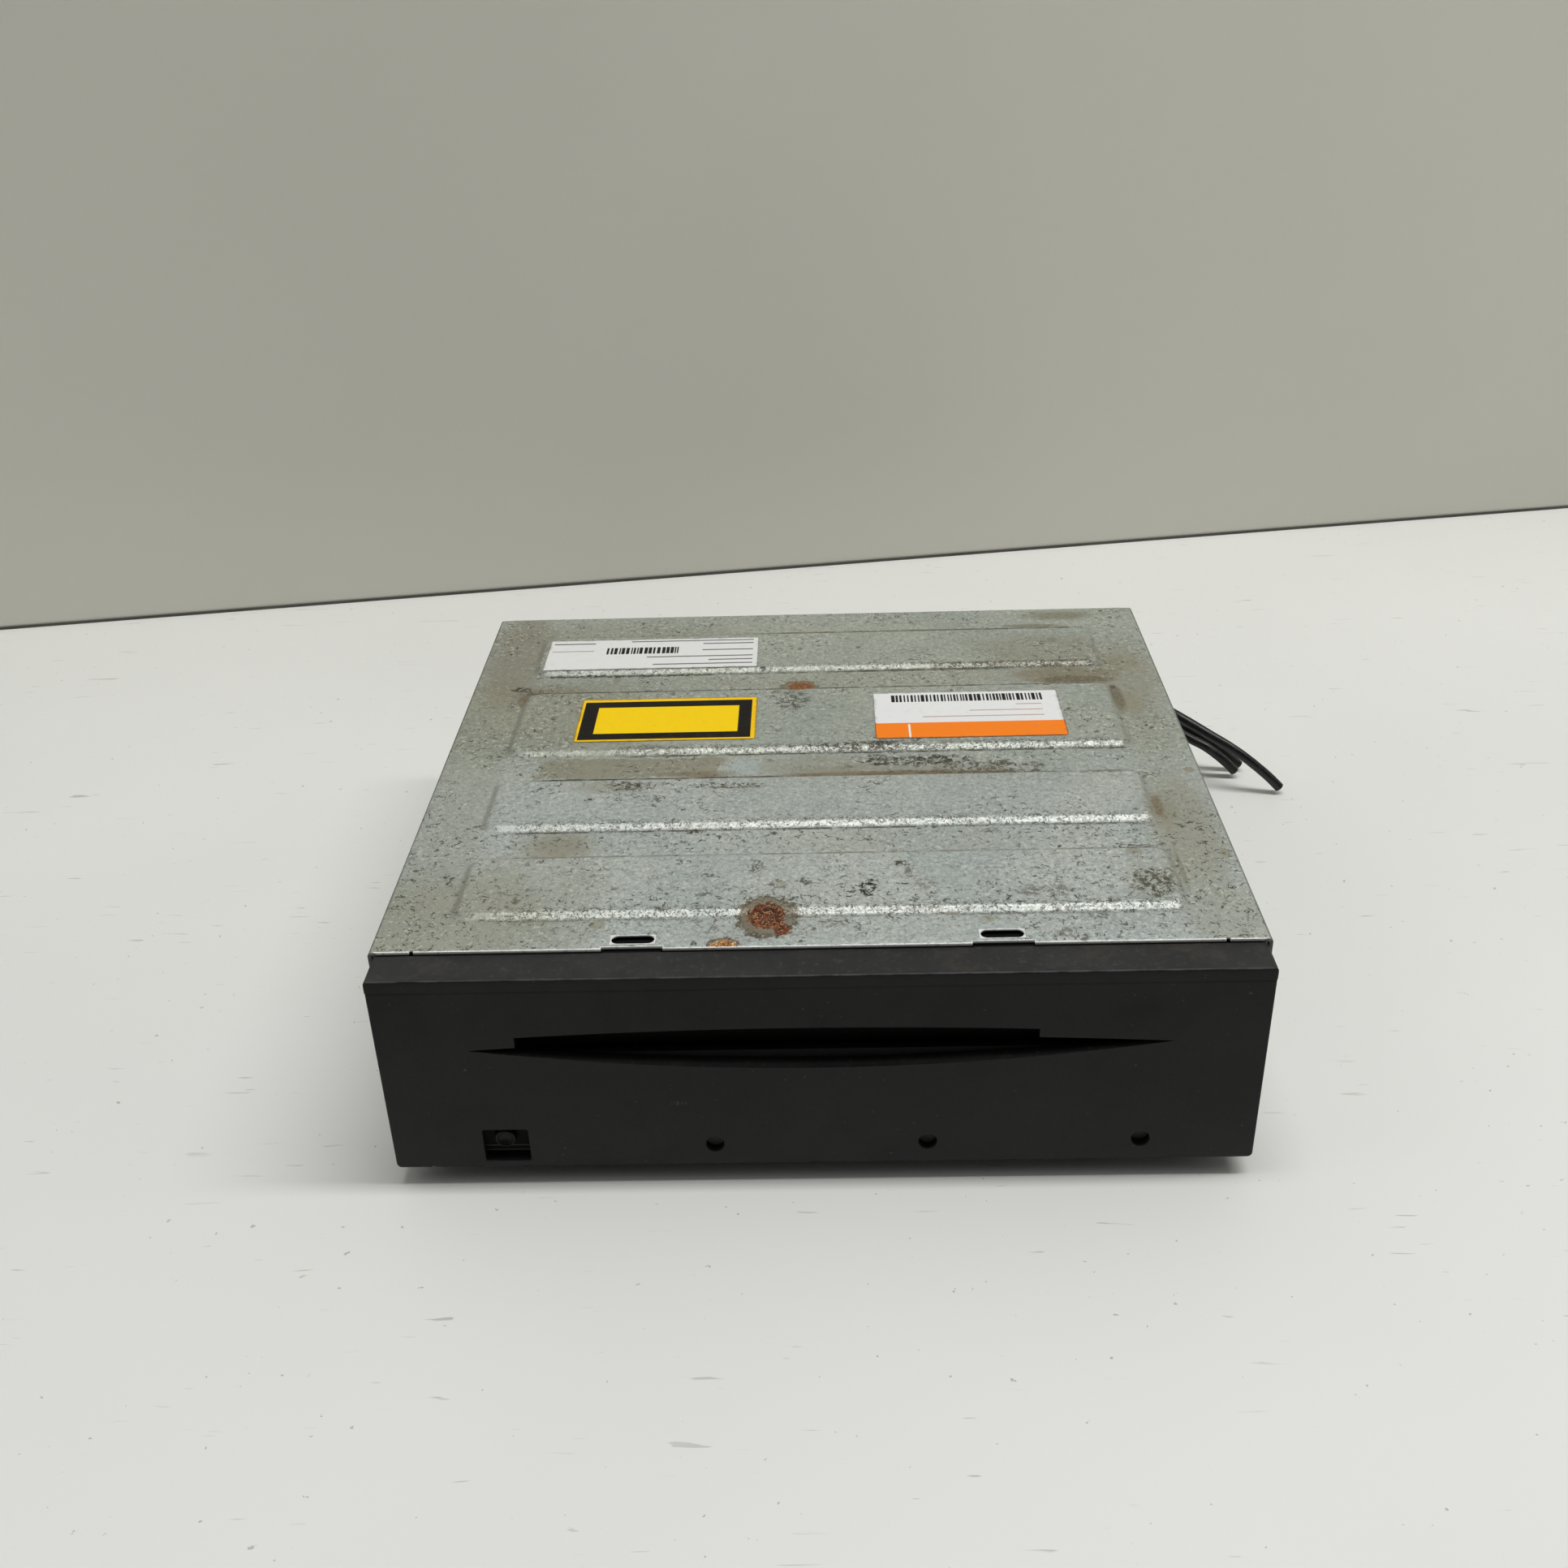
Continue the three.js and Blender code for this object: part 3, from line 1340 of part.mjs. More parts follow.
// Blocks under the deck, at both ends of the guide rods and at the lead screw's end.
function rodCarriers() {
  const low = deckUnder - carrierDrop;
  const carriers = [];
  for (const x of [-rodX, rodX]) {
    for (const y of [windowFrontY - carrierDepth, windowRearY]) {
      carriers.push(cut(
        block([x - carrierHalf, y, low], [x + carrierHalf, y + carrierDepth, deckUnder + deckSheet / 2]),
        barY(rodRadius + runningGap, y - overrun, y + carrierDepth + overrun, x, rodZ, fewSides),
      ));
    }
  }
  carriers.push(cut(
    block(
      [screwX - carrierHalf, windowRearY, low],
      [screwX + carrierHalf, windowRearY + carrierDepth, deckUnder + deckSheet / 2],
    ),
    barY(
      leadScrewRadius + runningGap, windowRearY - overrun, windowRearY + carrierDepth + overrun,
      screwX, screwZ, fewSides,
    ),
  ));
  return carriers;
}

add('deck_plate', deckPlate(), platedSteel);

// Rubber dampers between the tray's posts and the deck.
const damperRadius = 5.5;
const damperTopRadius = 4.3;
const damperTopThickness = 1.8;

let damperCount = 0;
for (const x of [-damperX, damperX]) {
  for (const y of Object.values(damperPlaces)) {
    damperCount += 1;
    const low = deckUnder - gap - damperThickness;
    const profile = [
      [0, low],
      [damperRadius, low],
      [damperRadius, deckUnder - gap],
      [damperNeckRadius, deckUnder - gap],
      [damperNeckRadius, deckTop + gap],
      [damperTopRadius, deckTop + gap],
      [damperTopRadius, deckTop + gap + damperTopThickness],
      [0, deckTop + gap + damperTopThickness],
    ];
    add(`damper_${damperCount}`, turning(profile, x, y, fewSides), blackRubber);
  }
}

// Guide plate above the disc's path, resting on the side plate and the deck's left ear.
const guideUnder = plateTopZ + gap;
const guideThickness = 1.5;
const guideHalf = sidePlateX - gap;
const guideWingHalf = sidePlateOuter + gap;
const guideFrontY = -78;
const guideRearY = plateStepY;
const guideRibWidth = 1.5;
const guideRibInset = 2.5;
const guideRibX = armInner - guideRibInset;
const guideRibDrop = 2.6;

add('guide_plate', joined(
  block([-guideHalf, guideFrontY, guideUnder], [guideHalf, guideRearY, guideUnder + guideThickness]),
  block(
    [-guideWingHalf, plateNoseY + armMargin, guideUnder],
    [guideWingHalf, guideRearY, guideUnder + guideThickness],
  ),
  block(
    [-guideRibX - guideRibWidth, guideFrontY + armMargin, guideUnder - guideRibDrop],
    [-guideRibX, guideRearY, guideUnder + overrun],
  ),
  block(
    [guideRibX, guideFrontY + armMargin, guideUnder - guideRibDrop],
    [guideRibX + guideRibWidth, guideRearY, guideUnder + overrun],
  ),
), darkPlastic);

// Spindle motor and turntable.
const spindleMotorRadius = 11;
const spindleMotorLow = 14.5;
const turntableRadius = 14;
const turntableThickness = 3.6;
const hubRadius = 4;
const hubLift = 1;
const hubLow = deckTop + hubLift;
const centringRadius = 7.3;
const centringHeight = 1.7;
const spindleRadius = 1;
const spindleDepth = 8;
const spindleLow = deckUnder - gap - spindleDepth;

add('spindle_motor', cut(
  barZ(spindleMotorRadius, spindleMotorLow, deckUnder - gap, 0, spindleY),
  barZ(spindleRadius + runningGap, spindleLow - overrun, deckUnder, 0, spindleY, fewSides),
), brightSteel);

add('turntable', turning([
  [0, spindleLow],
  [spindleRadius, spindleLow],
  [spindleRadius, hubLow],
  [hubRadius, hubLow],
  [hubRadius, discUnder - turntableThickness],
  [turntableRadius, discUnder - turntableThickness],
  [turntableRadius, discUnder],
  [centringRadius, discUnder],
  [centringRadius, discUnder + centringHeight / 2],
  [centringRadius * crownShare, discUnder + centringHeight],
  [0, discUnder + centringHeight],
], 0, spindleY), darkPlastic);

// Clamp arm, its hinge pin, and the puck that holds the disc down on the turntable.
const armSheet = 1.2;
const armLow = armPivotZ - armSheet / 2;
const armRootHalf = armEarX - gap;
const armTipHalf = 10;
const armNeckHalf = 12;
const armTipReach = 8;
const armWingHalf = 6;
const armLegGap = 3.3;
const armLegX = slideInnerX - armLegGap;
const knuckleRadius = 2.2;
const knuckleLength = 4;
const puckNeckRadius = 5;
const puckRadius = 15;
const puckLift = 3.1;
const puckThickness = 3.4;
const puckCapRadius = 7;
const puckCapThickness = 1.2;
const puckPlay = 0.8;
const puckRecessRadius = 8.5;
const puckRecessDepth = 1.9;
const puckLow = discUnder + discThickness + puckLift;

function clampArm() {
  const outline = [
    [armRootHalf, armPivotY],
    [armRootHalf, armPivotY - armWingHalf],
    [armNeckHalf, spindleY + 2 * armWingHalf],
    [armTipHalf, spindleY - armTipReach],
    [-armTipHalf, spindleY - armTipReach],
    [-armNeckHalf, spindleY + 2 * armWingHalf],
    [-armRootHalf, armPivotY - armWingHalf],
    [-armRootHalf, armPivotY],
  ];
  const knuckles = [-armRootHalf, armRootHalf - knuckleLength].map((from) => (
    barX(knuckleRadius, from, from + knuckleLength, armPivotY, armPivotZ, fewSides)
  ));
  const legOuter = -armLegX - armSheet;
  let body = joined(
    slabZ(outline, armLow, armLow + armSheet),
    block(
      [legOuter, armCamY - armWingHalf, armLow],
      [-armNeckHalf / 2, armCamY + armWingHalf, armLow + armSheet],
    ),
    block(
      [legOuter, armCamY - armWingHalf, armCamZ - 2 * camPinRadius],
      [-armLegX, armCamY + armWingHalf, armLow + armSheet],
    ),
    barX(camPinRadius, -slideOuterX - overrun, -armLegX - armSheet / 2, armCamY, armCamZ, fewSides),
    ...knuckles,
  );
  const between = armRootHalf - knuckleLength - gap;
  body = cut(
    body,
    barX(
      armPinRadius + runningGap, -armRootHalf - overrun, armRootHalf + overrun,
      armPivotY, armPivotZ, fewSides,
    ),
    block(
      [-between, armPivotY - knuckleRadius, armLow - overrun],
      [between, armPivotY + overrun, armLow + armSheet + overrun],
    ),
    barZ(puckNeckRadius + gap, armLow - overrun, armLow + armSheet + overrun, 0, spindleY),
  );
  return body;
}

add('clamp_arm', clampArm(), platedSteel);

const armPinHalf = armEarX + sidePlateSheet + overrun;
add('arm_pin', barX(armPinRadius, -armPinHalf, armPinHalf, armPivotY, armPivotZ, fewSides), brightSteel);

add('clamp_puck', turning([
  [0, puckLow + puckRecessDepth],
  [puckRecessRadius, puckLow + puckRecessDepth],
  [puckRecessRadius, puckLow],
  [puckRadius, puckLow],
  [puckRadius, puckLow + puckThickness / 2],
  [puckRadius - overrun, puckLow + puckThickness],
  [puckNeckRadius, puckLow + puckThickness],
  [puckNeckRadius, armLow + armSheet + puckPlay],
  [puckCapRadius, armLow + armSheet + puckPlay],
  [puckCapRadius, armLow + armSheet + puckPlay + puckCapThickness],
  [0, armLow + armSheet + puckPlay + puckCapThickness],
], 0, spindleY), darkPlastic);

// Pickup sled on two guide rods, moved by the lead screw.
const rodFrontY = windowFrontY - carrierDepth;
const rodRearY = windowRearY + carrierDepth;
for (const [name, x] of [['guide_rod_left', -rodX], ['guide_rod_right', rodX]]) {
  add(name, barY(rodRadius, rodFrontY, rodRearY, x, rodZ, fewSides), brightSteel);
}

const sledMargin = 3;
const sledHalf = rodX + sledMargin;
const sledLow = 17.6;
const sledTop = 24.6;
const sledSetback = 14;
const sledFrontY = spindleY + sledSetback;
const sledLength = 20;
const towerHalf = 12;
const towerMargin = 2;
const towerTop = 30.5;
const lensRadius = 2.5;
const lensHolderRadius = 4.5;
const lensHolderTop = 32.2;
const lensRise = 1;
const lensY = sledFrontY + sledLength / 2;
const nutHalf = 1;

function pickupSled() {
  const back = sledFrontY + sledLength;
  const body = joined(
    block([-sledHalf, sledFrontY, sledLow], [sledHalf, back, sledTop]),
    block(
      [-towerHalf, sledFrontY + towerMargin, sledTop - overrun],
      [towerHalf, back - towerMargin, towerTop],
    ),
    barZ(lensHolderRadius, towerTop - overrun, lensHolderTop, 0, lensY),
    block(
      [sledHalf - overrun, sledFrontY + towerMargin, screwZ - nutHalf],
      [screwX - leadScrewRadius - gap, back - towerMargin, screwZ + nutHalf],
    ),
  );
  const fork = rodRadius + runningGap;
  return cut(
    body,
    barY(rodRadius + runningGap, sledFrontY - overrun, back + overrun, -rodX, rodZ, fewSides),
    block([rodX - fork, sledFrontY - overrun, rodZ - fork], [rodX + fork, back + overrun, rodZ + fork]),
    barZ(lensRadius + runningGap, lensHolderTop - overrun, lensHolderTop + overrun, 0, lensY),
  );
}

add('pickup_sled', pickupSled(), darkPlastic);
add('pickup_lens', turning([
  [0, lensHolderTop - overrun + gap],
  [lensRadius, lensHolderTop - overrun + gap],
  [lensRadius, lensHolderTop],
  [lensRadius * crownShare, lensHolderTop + lensRise / 2],
  [0, lensHolderTop + lensRise],
], 0, lensY), lensGlass);

const sledMotorSetback = 3.5;
const sledMotorRearY = spindleY + sledMotorSetback;
const sledMotorLength = 18.5;
const sledBore = barY(
  motorShaftRadius + runningGap, sledMotorRearY - sledMotorLength / 2, sledMotorRearY + overrun,
  screwX, screwZ, fewSides,
);
add('sled_motor', cut(
  flatCan(sledMotorRearY - sledMotorLength, sledMotorRearY, 'y'),
  sledBore,
), brightSteel);
add('lead_screw', joined(
  barY(leadScrewRadius, sledMotorRearY + gap, rodRearY, screwX, screwZ, fewSides),
  barY(
    motorShaftRadius, sledMotorRearY - sledMotorLength / 4, sledMotorRearY + overrun,
    screwX, screwZ, fewSides,
  ),
), brightSteel);

// Flat cable from the deck down to its connector on the board.
const plugX = 36;
const plugHalf = 8;
const plugY = -44;
const plugDepth = 5;
const plugHeight = 4;
const flexHalf = 6;
const flexThickness = 0.4;
add('board_connector', block(
  [plugX - plugHalf, plugY - plugDepth / 2, boardTop + gap],
  [plugX + plugHalf, plugY + plugDepth / 2, boardTop + gap + plugHeight],
), whitePlastic);

function flexCable() {
  const low = boardTop + gap + plugHeight + gap;
  const high = deckUnder - gap;
  const bulge = 4;
  const steps = 8;
  const near = [];
  const far = [];
  for (let step = 0; step <= steps; step += 1) {
    const share = step / steps;
    const y = plugY + bulge * Math.sin(Math.PI * share) ** 2;
    const z = low + (high - low) * share;
    near.push([y - flexThickness / 2, z]);
    far.unshift([y + flexThickness / 2, z]);
  }
  return slabX([...near, ...far], plugX - flexHalf, plugX + flexHalf);
}

add('flex_cable', flexCable(), flexOrange);

export default model;
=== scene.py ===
# A slot-loading disc player for a car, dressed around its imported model. Lengths are in
# millimetres where a section gives them, and become metres where a mesh is made.
import json
import math
import random

import bmesh
import bpy
from mathutils import Matrix, Vector

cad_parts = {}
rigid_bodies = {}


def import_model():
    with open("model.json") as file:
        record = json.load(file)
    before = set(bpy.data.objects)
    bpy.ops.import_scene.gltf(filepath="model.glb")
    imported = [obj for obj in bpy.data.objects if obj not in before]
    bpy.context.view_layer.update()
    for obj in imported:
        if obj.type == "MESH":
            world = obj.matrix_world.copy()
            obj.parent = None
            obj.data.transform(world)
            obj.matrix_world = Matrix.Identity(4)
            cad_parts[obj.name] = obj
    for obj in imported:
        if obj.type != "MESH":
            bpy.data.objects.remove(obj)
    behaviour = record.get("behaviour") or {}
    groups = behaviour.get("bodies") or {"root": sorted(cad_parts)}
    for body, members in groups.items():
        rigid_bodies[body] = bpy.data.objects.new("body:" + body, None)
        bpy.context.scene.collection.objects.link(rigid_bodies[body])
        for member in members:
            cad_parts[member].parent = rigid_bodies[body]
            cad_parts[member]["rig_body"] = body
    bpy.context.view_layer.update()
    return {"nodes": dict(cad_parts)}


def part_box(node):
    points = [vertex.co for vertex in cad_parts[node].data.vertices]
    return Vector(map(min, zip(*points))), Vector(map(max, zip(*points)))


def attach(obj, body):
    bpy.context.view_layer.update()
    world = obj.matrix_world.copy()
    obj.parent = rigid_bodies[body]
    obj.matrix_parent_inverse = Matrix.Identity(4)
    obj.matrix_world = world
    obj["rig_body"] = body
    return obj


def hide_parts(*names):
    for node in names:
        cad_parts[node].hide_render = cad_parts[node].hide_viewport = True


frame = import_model()
nodes = frame["nodes"]
MM = 0.001

# The camera stands in front of the unit and above it, as in the photograph, and looks
# down on the cover and the front. It leans over by two degrees.
camera_data = bpy.data.cameras.new("photo_camera")
camera_data.sensor_width = 36
camera_data.lens = 37.70
camera_data.clip_start = 0.01
pitch, yaw, roll = (math.radians(angle) for angle in (29.32, -1.72, -1.93))
ahead = Vector((math.sin(yaw) * math.cos(pitch), math.cos(yaw) * math.cos(pitch), -math.sin(pitch)))
level = Vector((math.cos(yaw), -math.sin(yaw), 0))
over = level.cross(ahead)
right = level * math.cos(roll) + over * math.sin(roll)
up = over * math.cos(roll) - level * math.sin(roll)
camera = bpy.data.objects.new("photo_camera", camera_data)
camera.matrix_world = Matrix.Translation(Vector((2.6, -351.33, 243.5)) * MM) @ Matrix(
    (right, up, -ahead)
).transposed().to_4x4()
bpy.context.scene.collection.objects.link(camera)
bpy.context.scene.camera = camera


# The table and the wall behind it: a pale scratched laminate top against a warm grey panel,
# lit by one long soft lamp overhead and by a room that is dark in front and pale behind.
tree = shader = place = None


class Shade:
    """A number, a vector or a colour in the tree at hand, ready for sums and products."""

    def __init__(self, socket):
        self.socket = socket

    def __mul__(self, other):
        return calc("MULTIPLY", self, other)

    def __add__(self, other):
        return calc("ADD", self, other)

    def __sub__(self, other):
        return calc("SUBTRACT", self, other)

    def __rsub__(self, other):
        return calc("SUBTRACT", other, self)


def tone(code):
    """A colour written as red, green and blue in hexadecimal, as the shader wants it."""
    parts = [int(code[start : start + 2], 16) / 255 for start in (0, 2, 4)]
    return tuple(p / 12.92 if p < 0.04045 else ((p + 0.055) / 1.055) ** 2.4 for p in parts) + (1,)


def out(name):
    """An output of the node that was made last."""
    return Shade(tree.nodes[-1].outputs[name])


def put(kind, inputs=None, **settings):
    """Adds a node to the tree at hand, sets or links its inputs, and gives its first output."""
    made = tree.nodes.new(kind)
    for name, value in settings.items():
        setattr(made, name, value)
    for key, value in (inputs or {}).items():
        if isinstance(value, Shade):
            tree.links.new(value.socket, made.inputs[key])
        else:
            made.inputs[key].default_value = value
    return Shade(made.outputs[0]) if made.outputs else made


def calc(what, a, b=0.0, clamp=False):
    return put("ShaderNodeMath", {0: a, 1: b}, operation=what, use_clamp=clamp)


def highest(*values):
    most = values[0]
    for value in values[1:]:
        most = calc("MAXIMUM", most, value)
    return most


def vector(what, *given):
    """A sum on vectors, which gives a vector, or a number where a length is asked for."""
    put("ShaderNodeVectorMath", dict(enumerate(given)), operation=what)
    return out("Value" if what == "LENGTH" else 0)


def xyz(x, y, z):
    return put("ShaderNodeCombineXYZ", {0: x, 1: y, 2: z})


def split(whole):
    """The three parts of a vector."""
    put("ShaderNodeSeparateXYZ", {0: whole})
    return [out(part) for part in range(3)]


def blended(share, below, above, how="MIX"):
    """Goes from the colour below to the one above. A colour may be given by its code."""
    below, above = (tone(colour) if isinstance(colour, str) else colour for colour in (below, above))
    put("ShaderNodeMix", {0: share, 6: below, 7: above}, data_type="RGBA", blend_type=how)
    return out(2)


def ramp(value, low, high):
    """Nought at low and one at high, with a soft change between; low may be the larger."""
    return put("ShaderNodeMapRange", {0: value, 1: low, 2: high}, interpolation_type="SMOOTHSTEP")


def strip(value, start, end, soft):
    """One from start to end and nought outside, with soft edges that wide."""
    return ramp(value, start - soft, start + soft) * ramp(value, end + soft, end - soft)


def between(share, low, high):
    """A number that goes evenly from low to high as the share goes from nought to one."""
    return put("ShaderNodeMapRange", {0: share, 3: low, 4: high})


def grain(scale, detail=2.0, rough=0.5, warp=0.0, on=None):
    """Clouds or specks that many to the millimetre, on the piece's own place or another."""
    names = ("Vector", "Scale", "Detail", "Roughness", "Distortion")
    return put("ShaderNodeTexNoise", dict(zip(names, (on or place, scale, detail, rough, warp))))


def stretched(where, along):
    """The place pulled out along an axis, for brushed and rolled marks."""
    return vector("MULTIPLY", where, along)


def finish_of(name, metallic=0.0, roughness=0.5, specular=0.5):
    """Starts a material. Its tree, its shader and its place in millimetres are then at hand."""
    global tree, shader, place
    material = bpy.data.materials.new(name)
    material.use_nodes = True
    tree = material.node_tree
    shader = tree.nodes["Principled BSDF"]
    shader.inputs["Metallic"].default_value = metallic
    shader.inputs["Roughness"].default_value = roughness
    shader.inputs["Specular IOR Level"].default_value = specular
    put("ShaderNodeTexCoord")
    place = stretched(out("Object"), (1000, 1000, 1000))
    return material


def feed(colour, **sockets):
    """Joins the colour, and what else was made for the surface, to the shader."""
    tree.links.new(colour.socket, shader.inputs["Base Color"])
    for name, value in sockets.items():
        tree.links.new(value.socket, shader.inputs[name.capitalize()])


def bumped(height, depth):
    """A bump of that depth in millimetres."""
    return put("ShaderNodeBump", {"Height": height, "Distance": depth * MM, "Strength": 1.0})


def object_of(name, mesh, *materials):
    made = bpy.data.objects.new(name, mesh)
    bpy.context.scene.collection.objects.link(made)
    for material in materials:
        mesh.materials.append(material)
    return made


def plane_of(name, first, second, last, material):
    mesh = bpy.data.meshes.new(name)
    corners = (first, second, second + last - first, last)
    mesh.from_pydata([corner * MM for corner in corners], [], [(0, 1, 2, 3)])
    return object_of(name, mesh, material)


table_top = finish_of("table_top", roughness=0.5, specular=0.35)
base = blended(ramp(grain(0.004, 3.0), 0.3, 0.7), "e8e8e5", "eeeeeb")
for turn, spread, strength in ((0.5, 0.045, 0.5), (2.2, 0.06, 0.42), (1.2, 0.03, 0.35)):
    turned = put("ShaderNodeMapping", {0: place, 2: (0, 0, turn), 3: (0.11, 1.3, 1)})
    lines = ramp(grain(0.55, 2.0, 0.4, 0.7, on=turned), 0.72, 0.75)
    here = ramp(grain(spread, 2.0), 0.5, 0.62)
    base = blended(lines * here * strength, base, "8f8e88")
feed(blended(ramp(grain(0.42, 3.0, 0.6), 0.705, 0.725) * 0.5, base, "77746c"))

wall_grey = finish_of("wall_grey", roughness=0.8)
feed(blended(ramp(grain(0.002, 3.0), 0.3, 0.7), "e0ded4", "e9e7dd"))
put("ShaderNodeNewGeometry")
from_behind = out("Backfacing")
front_or_back = {0: from_behind, 1: Shade(shader.outputs[0]), 2: put("ShaderNodeBsdfTransparent")}
open_back = put("ShaderNodeMixShader", front_or_back)
tree.links.new(open_back.socket, tree.nodes["Material Output"].inputs["Surface"])

# The seam where the wall stands on the table is a thin dark strip: painted shade in that corner.
seam_dark = finish_of("seam_dark", roughness=0.8)
feed(blended(grain(0.05), "4a4740", "6a665e"))

wall_start, wall_run = Vector((-307.7, 212.1, 0)), Vector((619.9, 91.4, 0)).normalized()
wall_in = Vector((-wall_run.y, wall_run.x, 0))
table_reach, wall_height, seam_width = 2200, 330, 1.1
left_end, right_end = wall_start - wall_run * table_reach, wall_start + wall_run * table_reach
to_front, to_rear = wall_in * (-2 * table_reach), wall_in * table_reach
seam_left, seam_right = left_end - wall_in * 0.4, right_end - wall_in * 0.4
upward, seam_lift = Vector((0, 0, wall_height)), Vector((0, 0, seam_width))
plane_of("table", left_end + to_front, right_end + to_front, left_end + to_rear, table_top)
plane_of("wall", left_end, right_end, left_end + upward, wall_grey)
plane_of("wall_seam", seam_left, seam_right, seam_left + seam_lift, seam_dark)

world = bpy.data.worlds.new("room_light")
world.use_nodes = True
tree = world.node_tree
put("ShaderNodeTexCoord")
_, toward_wall, _ = split(out("Generated"))
room_tint = blended(ramp(toward_wall, -0.75, 0.1), (0.05, 0.05, 0.048, 1), (0.43, 0.44, 0.425, 1))
tree.links.new(room_tint.socket, tree.nodes["Background"].inputs["Color"])
bpy.context.scene.world = world
bpy.context.scene.view_settings.view_transform = "Standard"
for lamp, lamp_place, length, width, power, tint in (
    ("long_lamp", (0.75, -0.06, 2.1), 2.4, 0.2, 33.0, (1.0, 1.0, 0.985)),
    ("side_lamp", (-1.6, -0.3, 1.3), 1.2, 1.2, 2.2, (0.97, 1.0, 1.0)),
):
    light = bpy.data.lights.new(lamp, "AREA")
    light.shape, light.size, light.size_y = "RECTANGLE", length, width
    light.energy, light.color = power, tint
    lamp_object = bpy.data.objects.new(lamp, light)
    lamp_object.location = lamp_place
    if lamp == "side_lamp":
        lamp_object.rotation_euler = (-Vector(lamp_place)).to_track_quat("-Z", "Y").to_euler()
    bpy.context.scene.collection.objects.link(lamp_object)

# Three black leads come out of the grommet behind, bend round the rear right corner and
# droop to the table. Each is a soft plastic jacket over fine copper wires, cut off bare.
lead_diameter = 2.8
wire_radius = 0.2
lead_routes = {
    "lead_1": [(74, 87.53, 24), (74, 92, 24), (75.3, 96.5, 23.9), (78.6, 100.2, 23.6), (83, 102.3, 23.1),
        (88, 102.3, 22.5), (92.5, 100, 21.9), (96.2, 96.5, 21.2), (99.8, 92.8, 20.5), (103.6, 88.9, 19.7),
        (107.4, 85, 18.8), (111.3, 81.6, 17.5), (115.6, 78.3, 15.8), (120, 75.6, 13.9), (124.6, 73.6, 11.2),
        (129.2, 72.3, 7.7), (132.6, 71.5, 4.8), (135.6, 71, 1.8)],
    "lead_2": [(65, 87.53, 22), (65, 92, 22), (66.3, 97, 21.8), (69.6, 101.6, 21.4), (74.2, 105, 20.9),
        (79.6, 106.8, 20.2), (85.2, 106.9, 19.4), (90.6, 105.2, 18.5), (95.6, 102.2, 17.4),
        (100.3, 98.6, 16.2), (104.9, 94.8, 14.8), (109, 91.2, 13.3), (113.2, 88.2, 11.5),
        (117.2, 86.6, 9.2), (120.8, 85.9, 6.9), (124, 85.5, 4.3), (127, 85.2, 1.8)],
    "lead_3": [(69.5, 87.53, 20), (69.5, 92, 20), (70.9, 96.7, 19.8), (74.2, 100.6, 19.3),
        (78.9, 102.9, 18.6), (84.1, 103.3, 17.8), (89.1, 101.9, 16.9), (93.6, 99.1, 16), (97.9, 95.8, 15),
        (102.2, 92.3, 13.9), (106.8, 88.8, 12.7), (111.4, 85.2, 11.2), (115.6, 83, 9.6), (119.2, 81.8, 7.2),
        (122.2, 81.4, 4.6), (124.8, 81.3, 1.9)],
}

jacket_black = finish_of("jacket_black", roughness=0.42)
dusty = ramp(grain(0.35, 4.0), 0.5, 0.75)
feed(
    blended(dusty, "0c0c0d", "232220"), roughness=between(dusty, 0.34, 0.62),
    normal=bumped(grain(2.2, 3.0), 0.05),
)

copper_ends = finish_of("copper_ends", metallic=1.0, roughness=0.4)
feed(blended(grain(3.0), "8a5a3c", "b98a63"))


def smooth_path(points, steps=6):
    """The curve of even parameter steps through the points, as a list of points."""
    ends = [points[0] * 2 - points[1], *points, points[-1] * 2 - points[-2]]
    path = []
    for before, start, end, after in zip(ends, ends[1:], ends[2:], ends[3:]):
        for t in (step / steps for step in range(steps)):
            curve = (before * 2 - start * 5 + end * 4 - after) * t**2
            curve += (start * 3 - before - end * 3 + after) * t**3
            path.append((start * 2 + (end - before) * t + curve) / 2)
    return [*path, points[-1]]


def points_of(mesh, rows):
    """Puts rows of points, given in millimetres, into what is being built."""
    return [[mesh.verts.new(Vector(point) * MM) for point in row] for row in rows]


def skinned(mesh, rows, ring=True):
    """Lays faces between each row of points and the next. A ring's last point meets its first."""
    for one, other in zip(rows, rows[1:]):
        for here in range(len(one) - (not ring)):
            after = (here + 1) % len(one)
            mesh.faces.new((one[here], one[after], other[after], other[here]))


def ended(mesh, name):
    """Keeps what was built as a mesh of that name."""
    data = bpy.data.meshes.new(name)
    mesh.to_mesh(data)
    mesh.free()
    return data


def rings_mesh(name, rings):
    """A skin over rings of equally many points in millimetres, with faces over both ends."""
    mesh = bmesh.new()
    made = points_of(mesh, rings)
    skinned(mesh, made)
    mesh.faces.new(made[0][::-1])
    mesh.faces.new(made[-1])
    bmesh.ops.recalc_face_normals(mesh, faces=mesh.faces)
    return ended(mesh, name)


def swept(path, radius, sides):
    """Rings of points round a path, as many as the path has points."""
    rings, side_way = [], Vector((0, 0, 1))
    for step, point in enumerate(path):
        after, before = path[min(step + 1, len(path) - 1)], path[max(step - 1, 0)]
        ahead_way = (after - before).normalized()
        side_way = (side_way - ahead_way * side_way.dot(ahead_way)).normalized()
        other_way = ahead_way.cross(side_way)
        rings.append(
            [
                point + (side_way * math.cos(turn) + other_way * math.sin(turn)) * radius
                for turn in (2 * math.pi * side / sides for side in range(sides))
            ]
        )
    return rings


def shaded_smooth(piece, angle=35):
    """Smooth shading, with the edges sharper than that angle left crisp."""
    mesh = bmesh.new()
    mesh.from_mesh(piece.data)
    for face in mesh.faces:
        face.smooth = True
    for edge in mesh.edges:
        edge.smooth = len(edge.link_faces) == 2 and edge.calc_face_angle(0) < math.radians(angle)
    mesh.to_mesh(piece.data)
    mesh.free()
    return piece


